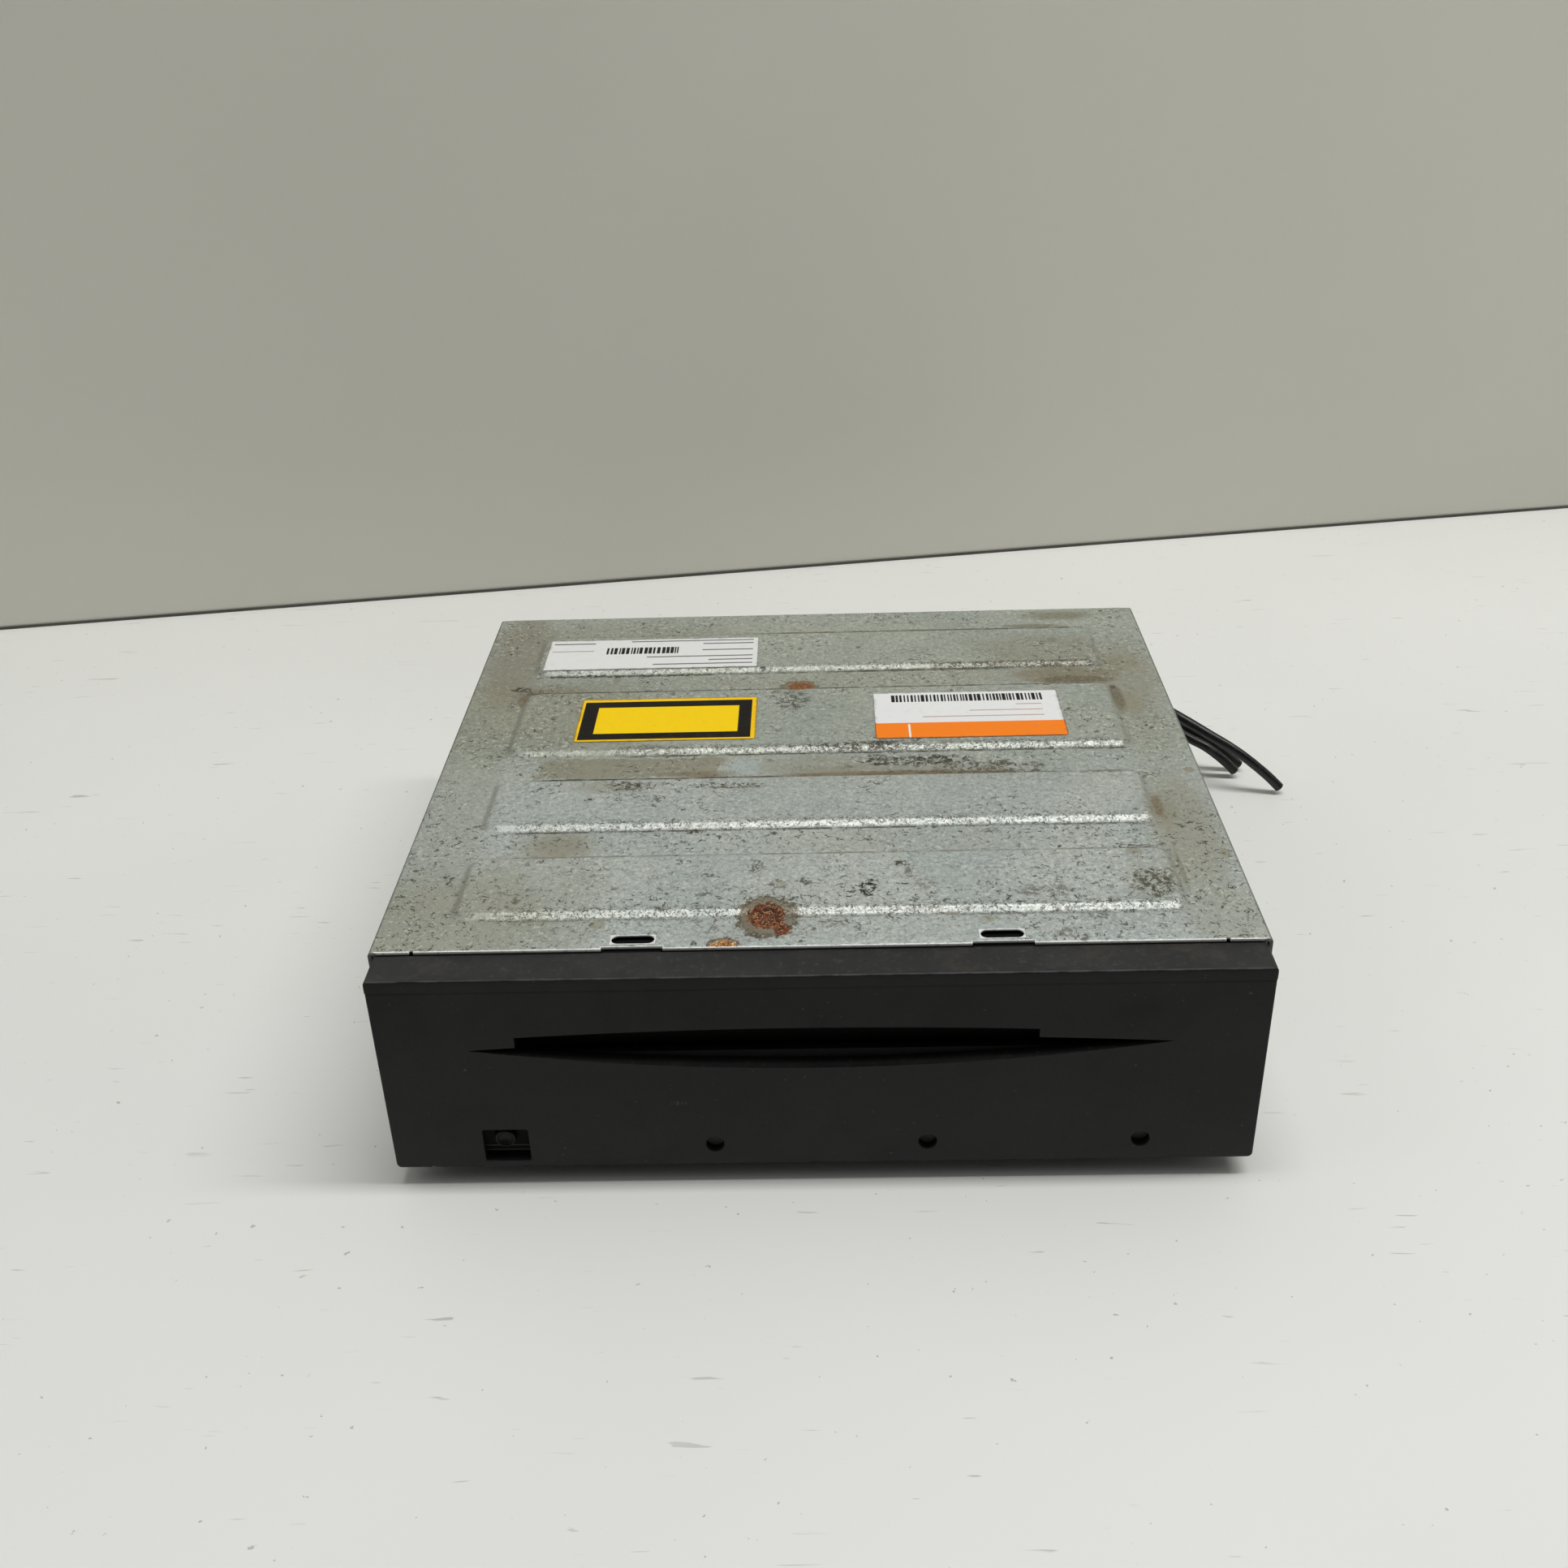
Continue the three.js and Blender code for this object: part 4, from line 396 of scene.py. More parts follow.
def carried(piece, body, slot_name, *stands_for):
    """Tells the frame which body a piece rides on, and hides the nodes that it replaces. The slot name is
    not used.
    """
    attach(piece, body)
    if stands_for:
        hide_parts(*stands_for)


for lead, route in lead_routes.items():
    line = smooth_path([Vector(point) for point in route])
    rings = swept(line, lead_diameter / 2, 20)
    tip = line[-1]
    out_way = (line[-1] - line[-2]).normalized()
    for back, share in ((0.0, 0.9), (0.0, 0.5), (0.7, 0.48), (0.7, 0.05)):
        rings.append([tip + (point - tip) * share - out_way * back for point in rings[len(line) - 1]])
    rings[len(line) - 1] = [point - out_way * 0.14 for point in rings[len(line) - 1]]
    jacket = shaded_smooth(object_of(lead + "_jacket", rings_mesh(lead, rings), jacket_black), 50)
    wires = bmesh.new()
    side_way = out_way.orthogonal().normalized()
    other_way = out_way.cross(side_way)
    for wire in range(7):
        turn = wire * math.pi / 3
        away = (side_way * math.cos(turn) + other_way * math.sin(turn)) * (0 if wire == 6 else 0.41)
        start = tip - out_way * 2 + away
        strand = swept([start, start + out_way * (1.75 + 0.1 * (wire % 3))], wire_radius, 8)
        wires.from_mesh(rings_mesh("wire", strand))
    core = shaded_smooth(object_of(lead + "_core", ended(wires, lead + "_core"), copper_ends))
    carried(jacket, "case", "lead_jacket", lead)
    carried(core, "case", "plated_steel")
    measured = [point * MM for point in line]
    sum((b - a).length for a, b in zip(measured, measured[1:]))

# The front is one black moulding, an open tray with a rounded front edge: a lens slot
# with a bevelled lower lip, a square window, three round holes, and a proud band on top.
bezel_half, bezel_low, bezel_high = 90, 4.5, 53.1
bezel_front, bezel_back = -89.03, -80.37
bezel_wall, edge_round, corner_round = 2.0, 0.45, 1.0
band_foot, band_proud = 50.3, 0.3
slot_tip_x, slot_tip_z, slot_step = 71.3, 35.5, (-61.5, 44.2)
slot_belly, slot_brow, slot_shoulder, slot_lip = 4.6, 4.35, 2, 0.95
window_left, window_right, window_low, window_high, window_corner = -70.8, -61.2, 6.3, 14.55, 0.5
hole_xs, hole_z, hole_radius = (-22.2, 22.2, 66.3), 10, 1.9
bottom_nicks = (
    (-82.2, 0.5, 0.28), (-62.4, 0.6, 0.3), (-57.2, 0.4, 0.22), (-46, 0.45, 0.25),
    (-42.6, 0.35, 0.2), (-0.8, 1.6, 0.35), (38.5, 0.4, 0.18), (71.5, 0.5, 0.2),
)


def arc(u, v, radius, start, turn, steps):
    """Points round a centre, from a starting angle in degrees and by even turns."""
    angles = [math.radians(start + turn * step) for step in range(steps)]
    return [(u + radius * math.cos(a), v + radius * math.sin(a)) for a in angles]


def bezel_outline(inset, nicks):
    """Outer ring from the lower left corner, over the top, and back along the nicked foot."""
    half, low, high = bezel_half - inset, bezel_low + inset, bezel_high - inset
    outline = []
    for side, z, start in ((-1, low, 180), (-1, high, 90), (1, high, 0), (1, low, -90)):
        middle_z = z + corner_round * (1 if z == low else -1)
        if side == -1 and z == high:
            outline += [(-half, band_foot - 0.05), (-half, band_foot + 0.05)]
        if side == 1 and z == low:
            outline += [(half, band_foot + 0.05), (half, band_foot - 0.05)]
        outline += arc(side * (half - corner_round), middle_z, corner_round, start, 18, 6)[::-1]
    for x, width, rise in reversed(bottom_nicks):
        for shift, share in ((1, 0), (0.5, 0.8), (-0.4, 1), (-1, 0)):
            outline.append((x + shift * width, low + rise * share * nicks))
    return outline


def slot_ring(low_grow, high_grow):
    """The lens slot: a bowed foot, and a flatter brow with a shoulder at each end."""

    def bow(x):
        return 1 - (x / slot_tip_x) ** 2

    foot = [slot_tip_x * (step / 16 - 1) for step in range(33)]
    brow = [slot_step[1] + (slot_step[0] - slot_step[1]) * step / 20 for step in range(21)]
    right_end = [slot_tip_x + (slot_step[1] - slot_tip_x) * step / 6 for step in range(1, 7)]
    left_end = [slot_step[0] + (-slot_tip_x - slot_step[0]) * step / 6 for step in range(6)]
    outline = [(x, slot_tip_z - (slot_belly + low_grow) * bow(x)) for x in foot]
    outline += [(x, slot_tip_z + 0.02 + (slot_shoulder + high_grow) * bow(x)) for x in right_end]
    outline += [(x, slot_tip_z + slot_brow + high_grow - (x + 5) ** 2 / 2140) for x in brow]
    outline += [(x, slot_tip_z + 0.02 + (slot_shoulder + high_grow) * bow(x)) for x in left_end]
    return outline


def box_outline(u0, u1, v0, v1):
    return [(u0, v0), (u1, v0), (u1, v1), (u0, v1)]


def rounded(u0, u1, v0, v1, radius, turn=15):
    """A rectangle with round corners, from the first to the second value each way."""
    corners = box_outline(u1 - radius, u0 + radius, v1 - radius, v0 + radius)
    rings = [arc(*corner, radius, 90 * at, turn, 90 // turn + 1) for at, corner in enumerate(corners)]
    return sum(rings, [])


def window_ring(grow):
    """The window's outline, its corners as round at every size."""
    low, high = window_low - grow, window_high + grow
    return rounded(window_left - grow, window_right + grow, low, high, window_corner, 30)


def hole_ring(x, z, radius):
    return arc(x, z, radius, 0, 360 / 32, 32)


bezel_mesh = bmesh.new()


def ring_at(outline, y, banded=False):
    """A ring of the front at a depth. The band on top stands a little proud."""
    proud = band_proud if banded else 0
    return points_of(bezel_mesh, [[(x, y - (proud if z > band_foot else 0), z) for x, z in outline]])[0]


def edges_round(ring):
    made = []
    for a, b in zip(ring, ring[1:] + ring[:1]):
        made.append(bezel_mesh.edges.get((a, b)) or bezel_mesh.edges.new((a, b)))
    return made


outer_rings = []
for step in range(5):
    a = math.radians(22.5 * step)
    inset, depth = edge_round * (1 - math.sin(a)), edge_round * (1 - math.cos(a))
    outer_rings.append(ring_at(bezel_outline(inset, 1), bezel_front + depth, banded=True))
for inset, nicks, y in (
    (0, 0.8, bezel_front + 0.9), (0, 0, bezel_front + 1.8), (0, 0, bezel_back - 0.15),
    (0.15, 0, bezel_back), (bezel_wall, 0, bezel_back), (bezel_wall, 0, bezel_front + bezel_wall),
):
    outer_rings.append(ring_at(bezel_outline(inset, nicks), y))
inner_y, edge_break = bezel_front + bezel_wall, 0.14
hole_stacks = [
    [
        ring_at(slot_ring(slot_lip, 0.25), bezel_front),
        ring_at(slot_ring(slot_lip * 0.55, 0.06), bezel_front + 0.28),
        ring_at(slot_ring(0.12, 0), bezel_front + slot_lip),
        ring_at(slot_ring(0, 0), inner_y),
    ],
    [
        ring_at(window_ring(edge_break), bezel_front),
        ring_at(window_ring(0), bezel_front + edge_break),
        ring_at(window_ring(0), inner_y),
    ],
]
for hole_x in hole_xs:
    sizes = ((hole_radius + 0.15, bezel_front), (hole_radius, bezel_front + 0.15), (hole_radius, inner_y))
    hole_stacks.append([ring_at(hole_ring(hole_x, hole_z, radius), y) for radius, y in sizes])
for stack in (outer_rings, *hole_stacks):
    skinned(bezel_mesh, stack)
front_ring = outer_rings[0]
band_part = [vert for vert in front_ring if vert.co.z > band_foot * MM]
plate_part = [vert for vert in front_ring if vert.co.z <= band_foot * MM]
bezel_mesh.faces.new(band_part)
plate_top = [vert for vert in plate_part if vert.co.z > (band_foot - 0.2) * MM]
left_foot, right_foot = sorted(plate_top, key=lambda vert: vert.co.x)
bezel_mesh.faces.new((left_foot, band_part[0], band_part[-1], right_foot))
shelf = bezel_mesh.edges.get((left_foot, right_foot)) or bezel_mesh.edges.new((left_foot, right_foot))
rim = [edge for edge in edges_round(front_ring) if all(vert in plate_part for vert in edge.verts)]
front_edges, back_edges = rim + [shelf], edges_round(outer_rings[-1])
for stack in hole_stacks:
    front_edges += edges_round(stack[0])
    back_edges += edges_round(stack[-1])
for edges in (front_edges, back_edges):
    bmesh.ops.triangle_fill(bezel_mesh, use_beauty=True, edges=edges)
bmesh.ops.recalc_face_normals(bezel_mesh, faces=bezel_mesh.faces)
bezel_data = ended(bezel_mesh, "front_moulding")


def prism(outline, low, high, axis=2):
    """A closed solid between two heights over an outline in the other two axes."""
    ways = {0: lambda u, v, w: (w, u, v), 1: lambda u, v, w: (u, w, v), 2: lambda u, v, w: (u, v, w)}
    return [[ways[axis](u, v, w) for u, v in outline] for w in (low, high)]


def carved(piece, solids, how="DIFFERENCE", material=None):
    """Cuts solids out of a piece, or joins them to it, and leaves a plain mesh."""
    tools = bmesh.new()
    for rings in solids:
        tools.from_mesh(rings_mesh("tool", rings))
    tool = object_of("tool", ended(tools, "tool"), *([material] if material else []))
    made = piece.modifiers.new("carve", "BOOLEAN")
    made.operation, made.object, made.solver = how, tool, "EXACT"
    made.material_mode = "TRANSFER" if material else "INDEX"
    settled(piece)
    bpy.data.objects.remove(tool)
    return piece


def settled(piece):
    """Takes what the modifiers make as the piece's own plain mesh."""
    seen = piece.evaluated_get(bpy.context.evaluated_depsgraph_get())
    mesh = bpy.data.meshes.new_from_object(seen)
    piece.modifiers.clear()
    piece.data = mesh
    return piece


black_moulding = finish_of("black_moulding", roughness=0.55, specular=0.22)
across, along, high = split(place)
put("ShaderNodeNewGeometry")
_, _, facing = split(out("Normal"))
facing_up = ramp(facing, 0.5, 0.9)
smear = ramp(grain(0.05, 5.0, 0.6, 0.6), 0.4, 0.7)
dust = ramp(grain(0.8, 6.0, 0.7), 0.52, 0.78)
base = blended(smear, "171718", "202021")
# Lighter towards the foot and darker towards the top: a painted reflection of the table, brightest low on
# the front.
base = blended(ramp(high, 34, 6) * 0.5, base, "262627")
base = blended(ramp(high, 34, 44) * 0.5, base, "0e0e0f")
# Faces that look up are painted lighter: painted light from the lamp overhead. Dust then lies on them.
base = blended(facing_up * between(smear, 0.6, 1.0), base, "313131")
base = blended(dust * facing_up * 0.3, base, "6a645a")
base = blended(dust * 0.05, base, "5a5854")
base = blended(facing_up * ramp(grain(0.09, 4.0, 0.7), 0.52, 0.7) * 0.35, base, "4a443b")
# The front top arris is painted lighter: partly wear, partly a painted highlight where the rounded edge
# meets the lamp.
arris = ramp(high, 52.75, 53.0) * ramp(along, -88.85, -89.1)
worn_arris_and_highlight = arris * ramp(grain(0.25, 4.0), 0.3, 0.65)
base = blended(worn_arris_and_highlight * 0.5, base, "5c5c5e")
# A near black line under the proud band: the band's painted shadow.
shadow_under_band = strip(high, 49.6, 50.32, 0.12) * ramp(along, -88.6, -88.9)
base = blended(shadow_under_band * 0.9, base, "020202")
# The walls inside the slot, the window and the holes are painted dark: painted shade in the recesses.
shaded_recess_walls = strip(across, -84, 84, 1.0) * strip(high, 5.6, 45, 0.2) * ramp(along, -88.7, -87.3)
base = blended(shaded_recess_walls * 0.7, base, "0a0a0a")
scuff_from = vector("SUBTRACT", place, (-29.0, -89, 21.1))
scuff_reach = vector("LENGTH", stretched(scuff_from, (0.45, 0.3, 1.4)))
scuff = ramp(scuff_reach, 1.0, 0.5) * ramp(grain(1.4, 5.0, 0.7), 0.45, 0.6)
base = blended(scuff * 0.55, base, "4c4b49")
base = blended(ramp(grain(0.8, 2.0, 0.5), 0.745, 0.775) * 0.4, base, "5f5d58")
# The back rim, where the moulding meets the cover's edge, is painted near black: painted shade in the gap
# between the parts.
base = blended(ramp(along, -80.6, -80.4), base, "050505")
feed(base, roughness=between(smear, 0.46, 0.62), normal=bumped(grain(5.5, 3.0, 0.6), 0.03))

front_moulding = object_of("front_moulding", bezel_data, black_moulding)
tab_x, tab_half = 37.4, 6
for x in (-tab_x, tab_x):
    for start, end, low, high in ((1.5, 7, 51.9, 52.8), (1.4, 0.5, 51.95, 53.08)):
        tab = box_outline(x - tab_half, x + tab_half, bezel_back - start, bezel_back + end)
        carved(front_moulding, [prism(tab, low, high)], "UNION")
shaded_smooth(front_moulding, 32)
carried(front_moulding, "case", "black_plastic", "front_bezel")

# The cover is one galvanised sheet 0.8 thick, folded down at the sides and the rear.
# Four panels are pressed up in it, and its front edge has two clip slots and notches.
cover_half, cover_top, cover_foot = 90.9, 53.9, 39.1
cover_front, cover_rear = -80.37, 85.63
fold_radius, sheet_thickness, rear_drop, rear_half = 0.9, 0.8, 9.0, 87.5
panel_left, panel_right = -76.5, 77.0
panel_rows = ((11.0, 35.3), (46.4, 70.0), (82.0, 117.2), (127.8, 152.5))
panel_rise, panel_slope, panel_corner, drumming = 0.9, 2.0, 4.5, 0.05


def tree_of(name, sizes):
    """Starts a Geometry Nodes tree that has these sizes, in millimetres, as named inputs."""
    global tree
    tree = bpy.data.node_groups.new(name, "GeometryNodeTree")
    sockets = [("Geometry", "Geometry", None), *((size, "Float", value) for size, value in sizes.items())]
    for socket, kind, value in (*sockets, ("Material", "Material", None)):
        made = tree.interface.new_socket(socket, in_out="INPUT", socket_type="NodeSocket" + kind)
        if value is not None:
            made.default_value = value * MM
    tree.interface.new_socket("Geometry", in_out="OUTPUT", socket_type="NodeSocketGeometry")
    return {socket.name: Shade(socket) for socket in tree.nodes.new("NodeGroupInput").outputs}


def tree_ended(given, last):
    """Ends the tree at hand in plain geometry with its material set."""
    whole = put("GeometryNodeRealizeInstances", {0: last})
    put("NodeGroupOutput", {0: put("GeometryNodeSetMaterial", {0: whole, "Material": given["Material"]})})
    return tree


def pressed_panels_tree():
    """Lifts every point that lies over a panel, up a soft slope, and finishes the mesh."""
    sizes = {"Rise": panel_rise, "Slope": panel_slope, "Corner": panel_corner, "Drumming": drumming}
    given = tree_of("pressed_panels", sizes)
    flat = vector("MULTIPLY", put("GeometryNodeInputPosition"), (1, 1, 0))
    lifts = (grain(28.0, 1.0, on=flat) - 0.5) * given["Drumming"]
    for near, far in panel_rows:
        middle = ((panel_left + panel_right) / 2 * MM, ((near + far) / 2 + cover_front) * MM, 0)
        half = ((panel_right - panel_left) / 2 * MM, (far - near) / 2 * MM, 0)
        away = vector("SUBTRACT", vector("ABSOLUTE", vector("SUBTRACT", flat, middle)), half)
        away = vector("ADD", away, xyz(given["Corner"], given["Corner"], 0))
        beside, before, _ = split(away)
        inside = calc("MINIMUM", highest(beside, before), 0.0)
        distance = inside + vector("LENGTH", vector("MAXIMUM", away, (0, 0, 0)))
        slope = {0: given["Corner"] - distance, 1: 0.0, 2: given["Slope"], 3: 0.0, 4: given["Rise"]}
        lifts = lifts + put("ShaderNodeMapRange", slope, interpolation_type="SMOOTHSTEP")
    lifted = put("GeometryNodeSetPosition", {0: given["Geometry"], "Offset": xyz(0, 0, lifts)})
    return tree_ended(given, lifted)


def shaped(piece, tree_made, **inputs):
    """Runs a tree on a piece with its inputs set by their identifiers, and keeps the result."""
    made = piece.modifiers.new(tree_made.name, "NODES")
    made.node_group = tree_made
    for item in tree_made.interface.items_tree:
        if item.in_out == "INPUT" and item.name in inputs:
            made[item.identifier] = inputs[item.name]
    piece.update_tag()
    return settled(piece)


def stations(start, end, step):
    count = max(1, round(abs(end - start) / step))
    return [start + (end - start) * at / count for at in range(count)]


fine, coarse, fold_step = 0.36, 5.0, 18
fold_low, fold_half = cover_top - fold_radius, cover_half - fold_radius
columns = [(-cover_half, z) for z in stations(cover_foot, fold_low, 3.5)]
columns += arc(-fold_half, fold_low, fold_radius, 180, -fold_step, 6)
columns += [(x, cover_top) for x in stations(-fold_half, -rear_half, 1.5)[1:]]
for start, end, step in (
    (-rear_half, panel_left - 0.3, coarse), (panel_left - 0.3, panel_left + 5, fine),
    (panel_left + 5, panel_right - 5, coarse), (panel_right - 5, panel_right + 0.3, fine),
    (panel_right + 0.3, rear_half, coarse), (rear_half, fold_half, 1.5),
):
    columns += [(x, cover_top) for x in stations(start, end, step)]
columns += arc(fold_half, fold_low, fold_radius, 90, -fold_step, 6)
columns += [(cover_half, z) for z in stations(fold_low, cover_foot, 3.5)[1:] + [cover_foot]]
ys, reached = [], cover_front
for near, far in panel_rows:
    near_y, far_y = near + cover_front, far + cover_front
    for start, end, step in (
        (reached, near_y - 0.3, 4.0), (near_y - 0.3, near_y + 5, fine),
        (near_y + 5, far_y - 5, 4.0), (far_y - 5, far_y + 0.3, fine),
    ):
        ys += stations(start, end, step)
    reached = far_y + 0.3
ys += stations(reached, cover_rear, 4.0) + [cover_rear]
flange = arc(cover_rear, fold_low, fold_radius, 90 - fold_step, -fold_step, 5)
drops = stations(fold_radius, rear_drop, 1.5)[1:] + [rear_drop]
flange += [(cover_rear + fold_radius, cover_top - drop) for drop in drops]

sheet_mesh = bmesh.new()
skin = points_of(sheet_mesh, [[(x, y, z) for x, z in columns] for y in ys])
on_flange = [step for step, (x, z) in enumerate(columns) if z == cover_top and abs(x) <= rear_half + 0.01]
tail = points_of(sheet_mesh, [[(columns[step][0], y, z) for step in on_flange] for y, z in flange])
skinned(sheet_mesh, skin, ring=False)
skinned(sheet_mesh, [[skin[-1][step] for step in on_flange], *tail], ring=False)
cover_sheet = object_of("cover_sheet", ended(sheet_mesh, "cover_sheet"))

galvanised = finish_of("galvanised", metallic=0.35, roughness=0.45)


def wander(scale, detail):
    """A push in every direction, from minus a half to a half, that makes outlines ragged."""
    grain(scale, detail, 0.75)
    return vector("SUBTRACT", out("Color"), (0.5, 0.5, 0.5))


def pushed(push, wide, deep):
    return vector("MULTIPLY_ADD", push, (wide, deep, 0), place)


broad_push, fine_push = wander(0.12, 4.0), wander(0.7, 5.0)
_, _, high = split(place)
across, along, _ = split(pushed(fine_push, 0.9, 0.9))
back_from_front = along - cover_front
on_top = ramp(high, 53.4, 53.7)
mottle = grain(0.8, 3.0, 0.7)
fine_mottle = grain(1.6, 3.0, 0.75)
base = blended(ramp(grain(0.03, 4.0, 0.6, 0.5), 0.38, 0.62), "b1b8b5", "babfba")
# The sheet is painted darker and warmer towards the rear: a painted fall-off of the sheen, which is
# brightest at the front.
base = blended(ramp(back_from_front, 58, 90), base, (0.87, 0.86, 0.79, 1), "MULTIPLY")
smoky_left = ramp(across, -30, -62) * strip(back_from_front, 84, 124, 4.0) * 0.7
base = blended(smoky_left, base, (0.82, 0.8, 0.74, 1), "MULTIPLY")


def oval(x, y, wide, deep, ragged, edge, strength):
    """One inside a ragged oval on the cover, x and y from its front edge, and nought outside."""
    here = pushed(broad_push if wide > 9 else fine_push, ragged * wide, ragged * deep)
    away = vector("SUBTRACT", here, (x, y + cover_front, 54))
    distance = vector("LENGTH", stretched(away, (1 / wide, 1 / deep, 0)))
    return ramp(distance, 1.0 + edge / 2, 1.0 - edge / 2) * strength


def gathered(marks, *same):
    """The strongest of some ovals at each point. Each has its own raggedness and edge, or the same."""
    return highest(0.0, *(oval(*mark[:4], *(same or mark[4:6]), mark[-1]) for mark in marks))


# The haze of old oil and dust lies in wide soft patches, most of it in the low places.
scales = mottle * 0.6 + fine_mottle * 0.4
patchy = between(ramp(scales, 0.44, 0.56), 0.6, 1.0)
haze_patches = {
    "a0a08f": [(-62, 22, 16, 12, 0.3), (-84, 60, 9, 60, 0.45), (20, 40, 34, 5, 0.3),
        (30, 60, 60, 14, 0.12)],
    "9a9985": [(-78, 6, 28, 24, 0.75), (72, 22, 8, 8, 0.4), (-58, 100, 20, 20, 0.4), (84, 8, 9, 12, 0.5),
        (82, 90, 7, 14, 0.45), (15, 122, 60, 5, 0.4)],
    "95927c": [(-58, 40, 9, 6.5, 0.6), (-1, 75, 13, 5, 0.55), (-60, 155, 34, 7, 0.4),
        (82, 44, 8, 26, 0.75)],
    "948c75": [(-48, 65.5, 10, 3.2, 0.25), (82, 122, 8, 20, 0.6), (62, 137, 20, 9, 0.6)],
    "8d856f": [(18, 72.5, 22, 2.6, 0.6), (-82, 138, 8, 30, 0.75), (-74, 118.5, 12, 4.5, 0.5)],
    "8a7a5f": [(66, 123, 13, 5, 0.65)],
}
for code, marks in haze_patches.items():
    base = blended(gathered(marks, 1.3, 0.9) * patchy * on_top, base, code)
washed_across, washed_along, _ = split(pushed(broad_push, 14, 6))
washed_back = washed_along - cover_front
washed = strip(washed_across, -67, -22.5, 1.0) * strip(washed_back, 70.8, 80.4, 0.8)
base = blended(washed * patchy * on_top * 0.9, base, "8f8971")

# The sheet's own grain: small lighter and darker scales, denser where it is pitted.
darker = blended(1.0, base, (0.25, 0.25, 0.25, 1), "MULTIPLY")
lighter = blended(1.0, base, (1.75, 1.75, 1.75, 1), "MULTIPLY")
base = blended(scales, darker, lighter)
pitted = ramp(grain(0.05, 4.0, 0.65, 0.4), 0.44, 0.6)
pocked = ramp(grain(0.7, 4.0, 0.8, 0.8), 0.58, 0.593)
pitted_ends = ramp(vector("LENGTH", stretched(place, (0.5, 0, 0))), 24, 40)
worst = highest(strip(back_from_front, 8, 21, 5.0), strip(back_from_front, 38, 52, 5.0), pitted_ends)
pits = pocked * between(highest(pitted, worst * ramp(back_from_front, 62, 44)), 0.2, 1.0)
base = blended(ramp(grain(0.5, 5.0, 0.8, 0.9), 0.625, 0.65) * 0.5, base, "85877c")
base = blended(pits * 0.9, base, "46473c")
base = blended(ramp(mottle, 0.58, 0.62) * between(pitted, 0.1, 0.5), base, "d4d8cf")

# Each pressed panel is worn white and pitted along its front slope, above a thin dark line.
# The white is also a painted highlight, where the slope faces the lamp overhead. A painted
# shade runs down both end slopes. A row says from where to where, and how much.
worn_white_and_highlight = ramp(grain(1.0, 4.0, 0.8, 0.8), 0.48, 0.53)
curls = grain(0.9, 4.0, 0.8, 1.6)
for (near, far), (worn_from, worn_to, wear, curled, browed) in zip(panel_rows, (
    (-73, 75.5, 0.45, 0.53, 0.35), (-73, 75.5, 0.55, 0.54, 0.9),
    (-50, 75.5, 0.55, 0.515, 0.95), (-76, 27, 0.25, 0.55, 0.8),
)):
    length_wise = ramp(across, worn_from, worn_from + 9) * ramp(across, worn_to + 0.8, worn_to - 1.4)
    uneven = between(ramp(grain(0.07, 3.0), 0.3, 0.6), 0.55, 1.0)
    slope = strip(back_from_front, near + 0.1, near + 1.8, 0.4)
    around = strip(back_from_front, near - 0.6, near + 3.2, 1.0) * length_wise
    # The pale flecks round the slope and the white on it are wear and a painted highlight together; the
    # dark curls are pits.
    base = blended(around * ramp(mottle, 0.52, 0.6) * 0.4, base, "dadcd3")
    base = blended(slope * length_wise * worn_white_and_highlight * uneven * wear, base, "efefe6")
    base = blended(around * ramp(curls, curled, curled + 0.02) * 0.85, base, "504f44")
    broken = ramp(grain(0.11, 5.0, 0.7), 0.42, 0.56)
    brow = strip(back_from_front, near - 0.9, near - 0.15, 0.2) * length_wise
    base = blended(brow * between(broken, 0.3, 1.0) * browed, base, "504f43")
    # Both ends of the panel are painted darker: painted shade on the end slopes.
    ends = strip(back_from_front, near + 1, far - 1, 1.5) * 0.35
    for end in (panel_left, panel_right - 1.6):
        base = blended(strip(across, end, end + 1.6, 0.6) * ends, base, "77776a")

# Dark lines lie along the foot of each rear slope, darker and wider from panel to panel:
# grime, together with the painted shade of the slope that faces away from the lamp.
foot_lines = (
    (35.3, -73, 74, 0.35, 0.6, "75725f"), (70.0, -68, -6, 0.6, 0.95, "3f3c30"),
    (70.0, -6, 46, 1.2, 0.75, "6d5738"), (70.0, 40, 74, 0.5, 0.7, "615d4d"),
    (117.2, -74, 75, 0.6, 0.95, "4c4434"), (152.5, -16, 75, 1.2, 0.85, "605f50"),
    (152.5, -74, -14, 0.8, 0.4, "75735f"),
)
for far, start, end, wide, strength, code in foot_lines:
    foot = strip(back_from_front, far - 0.6, far + wide, 0.25) * strip(across, start, end, 2.5)
    base = blended(foot * between(broken, 0.4, 1.0) * strength, base, code)

# The rear panel's front slope is dark brown along its foot, and cracked on the right.
rear_near = panel_rows[3][0]
dark_foot = strip(back_from_front, rear_near - 0.9, rear_near + 0.3, 0.3) * strip(across, 8, 52, 3.0)
base = blended(dark_foot * between(broken, 0.4, 1.0) * 0.8, base, "565245")
scabby = strip(back_from_front, rear_near - 0.4, rear_near + 2.4, 0.7) * strip(across, 31, 75.5, 3.0)
cracks = grain(0.75, 5.0, 0.8, 1.8)
base = blended(scabby * ramp(cracks, 0.48, 0.51) * 0.9, base, "494132")
base = blended(scabby * ramp(cracks, 0.43, 0.40) * 0.3, base, "a8a18b")

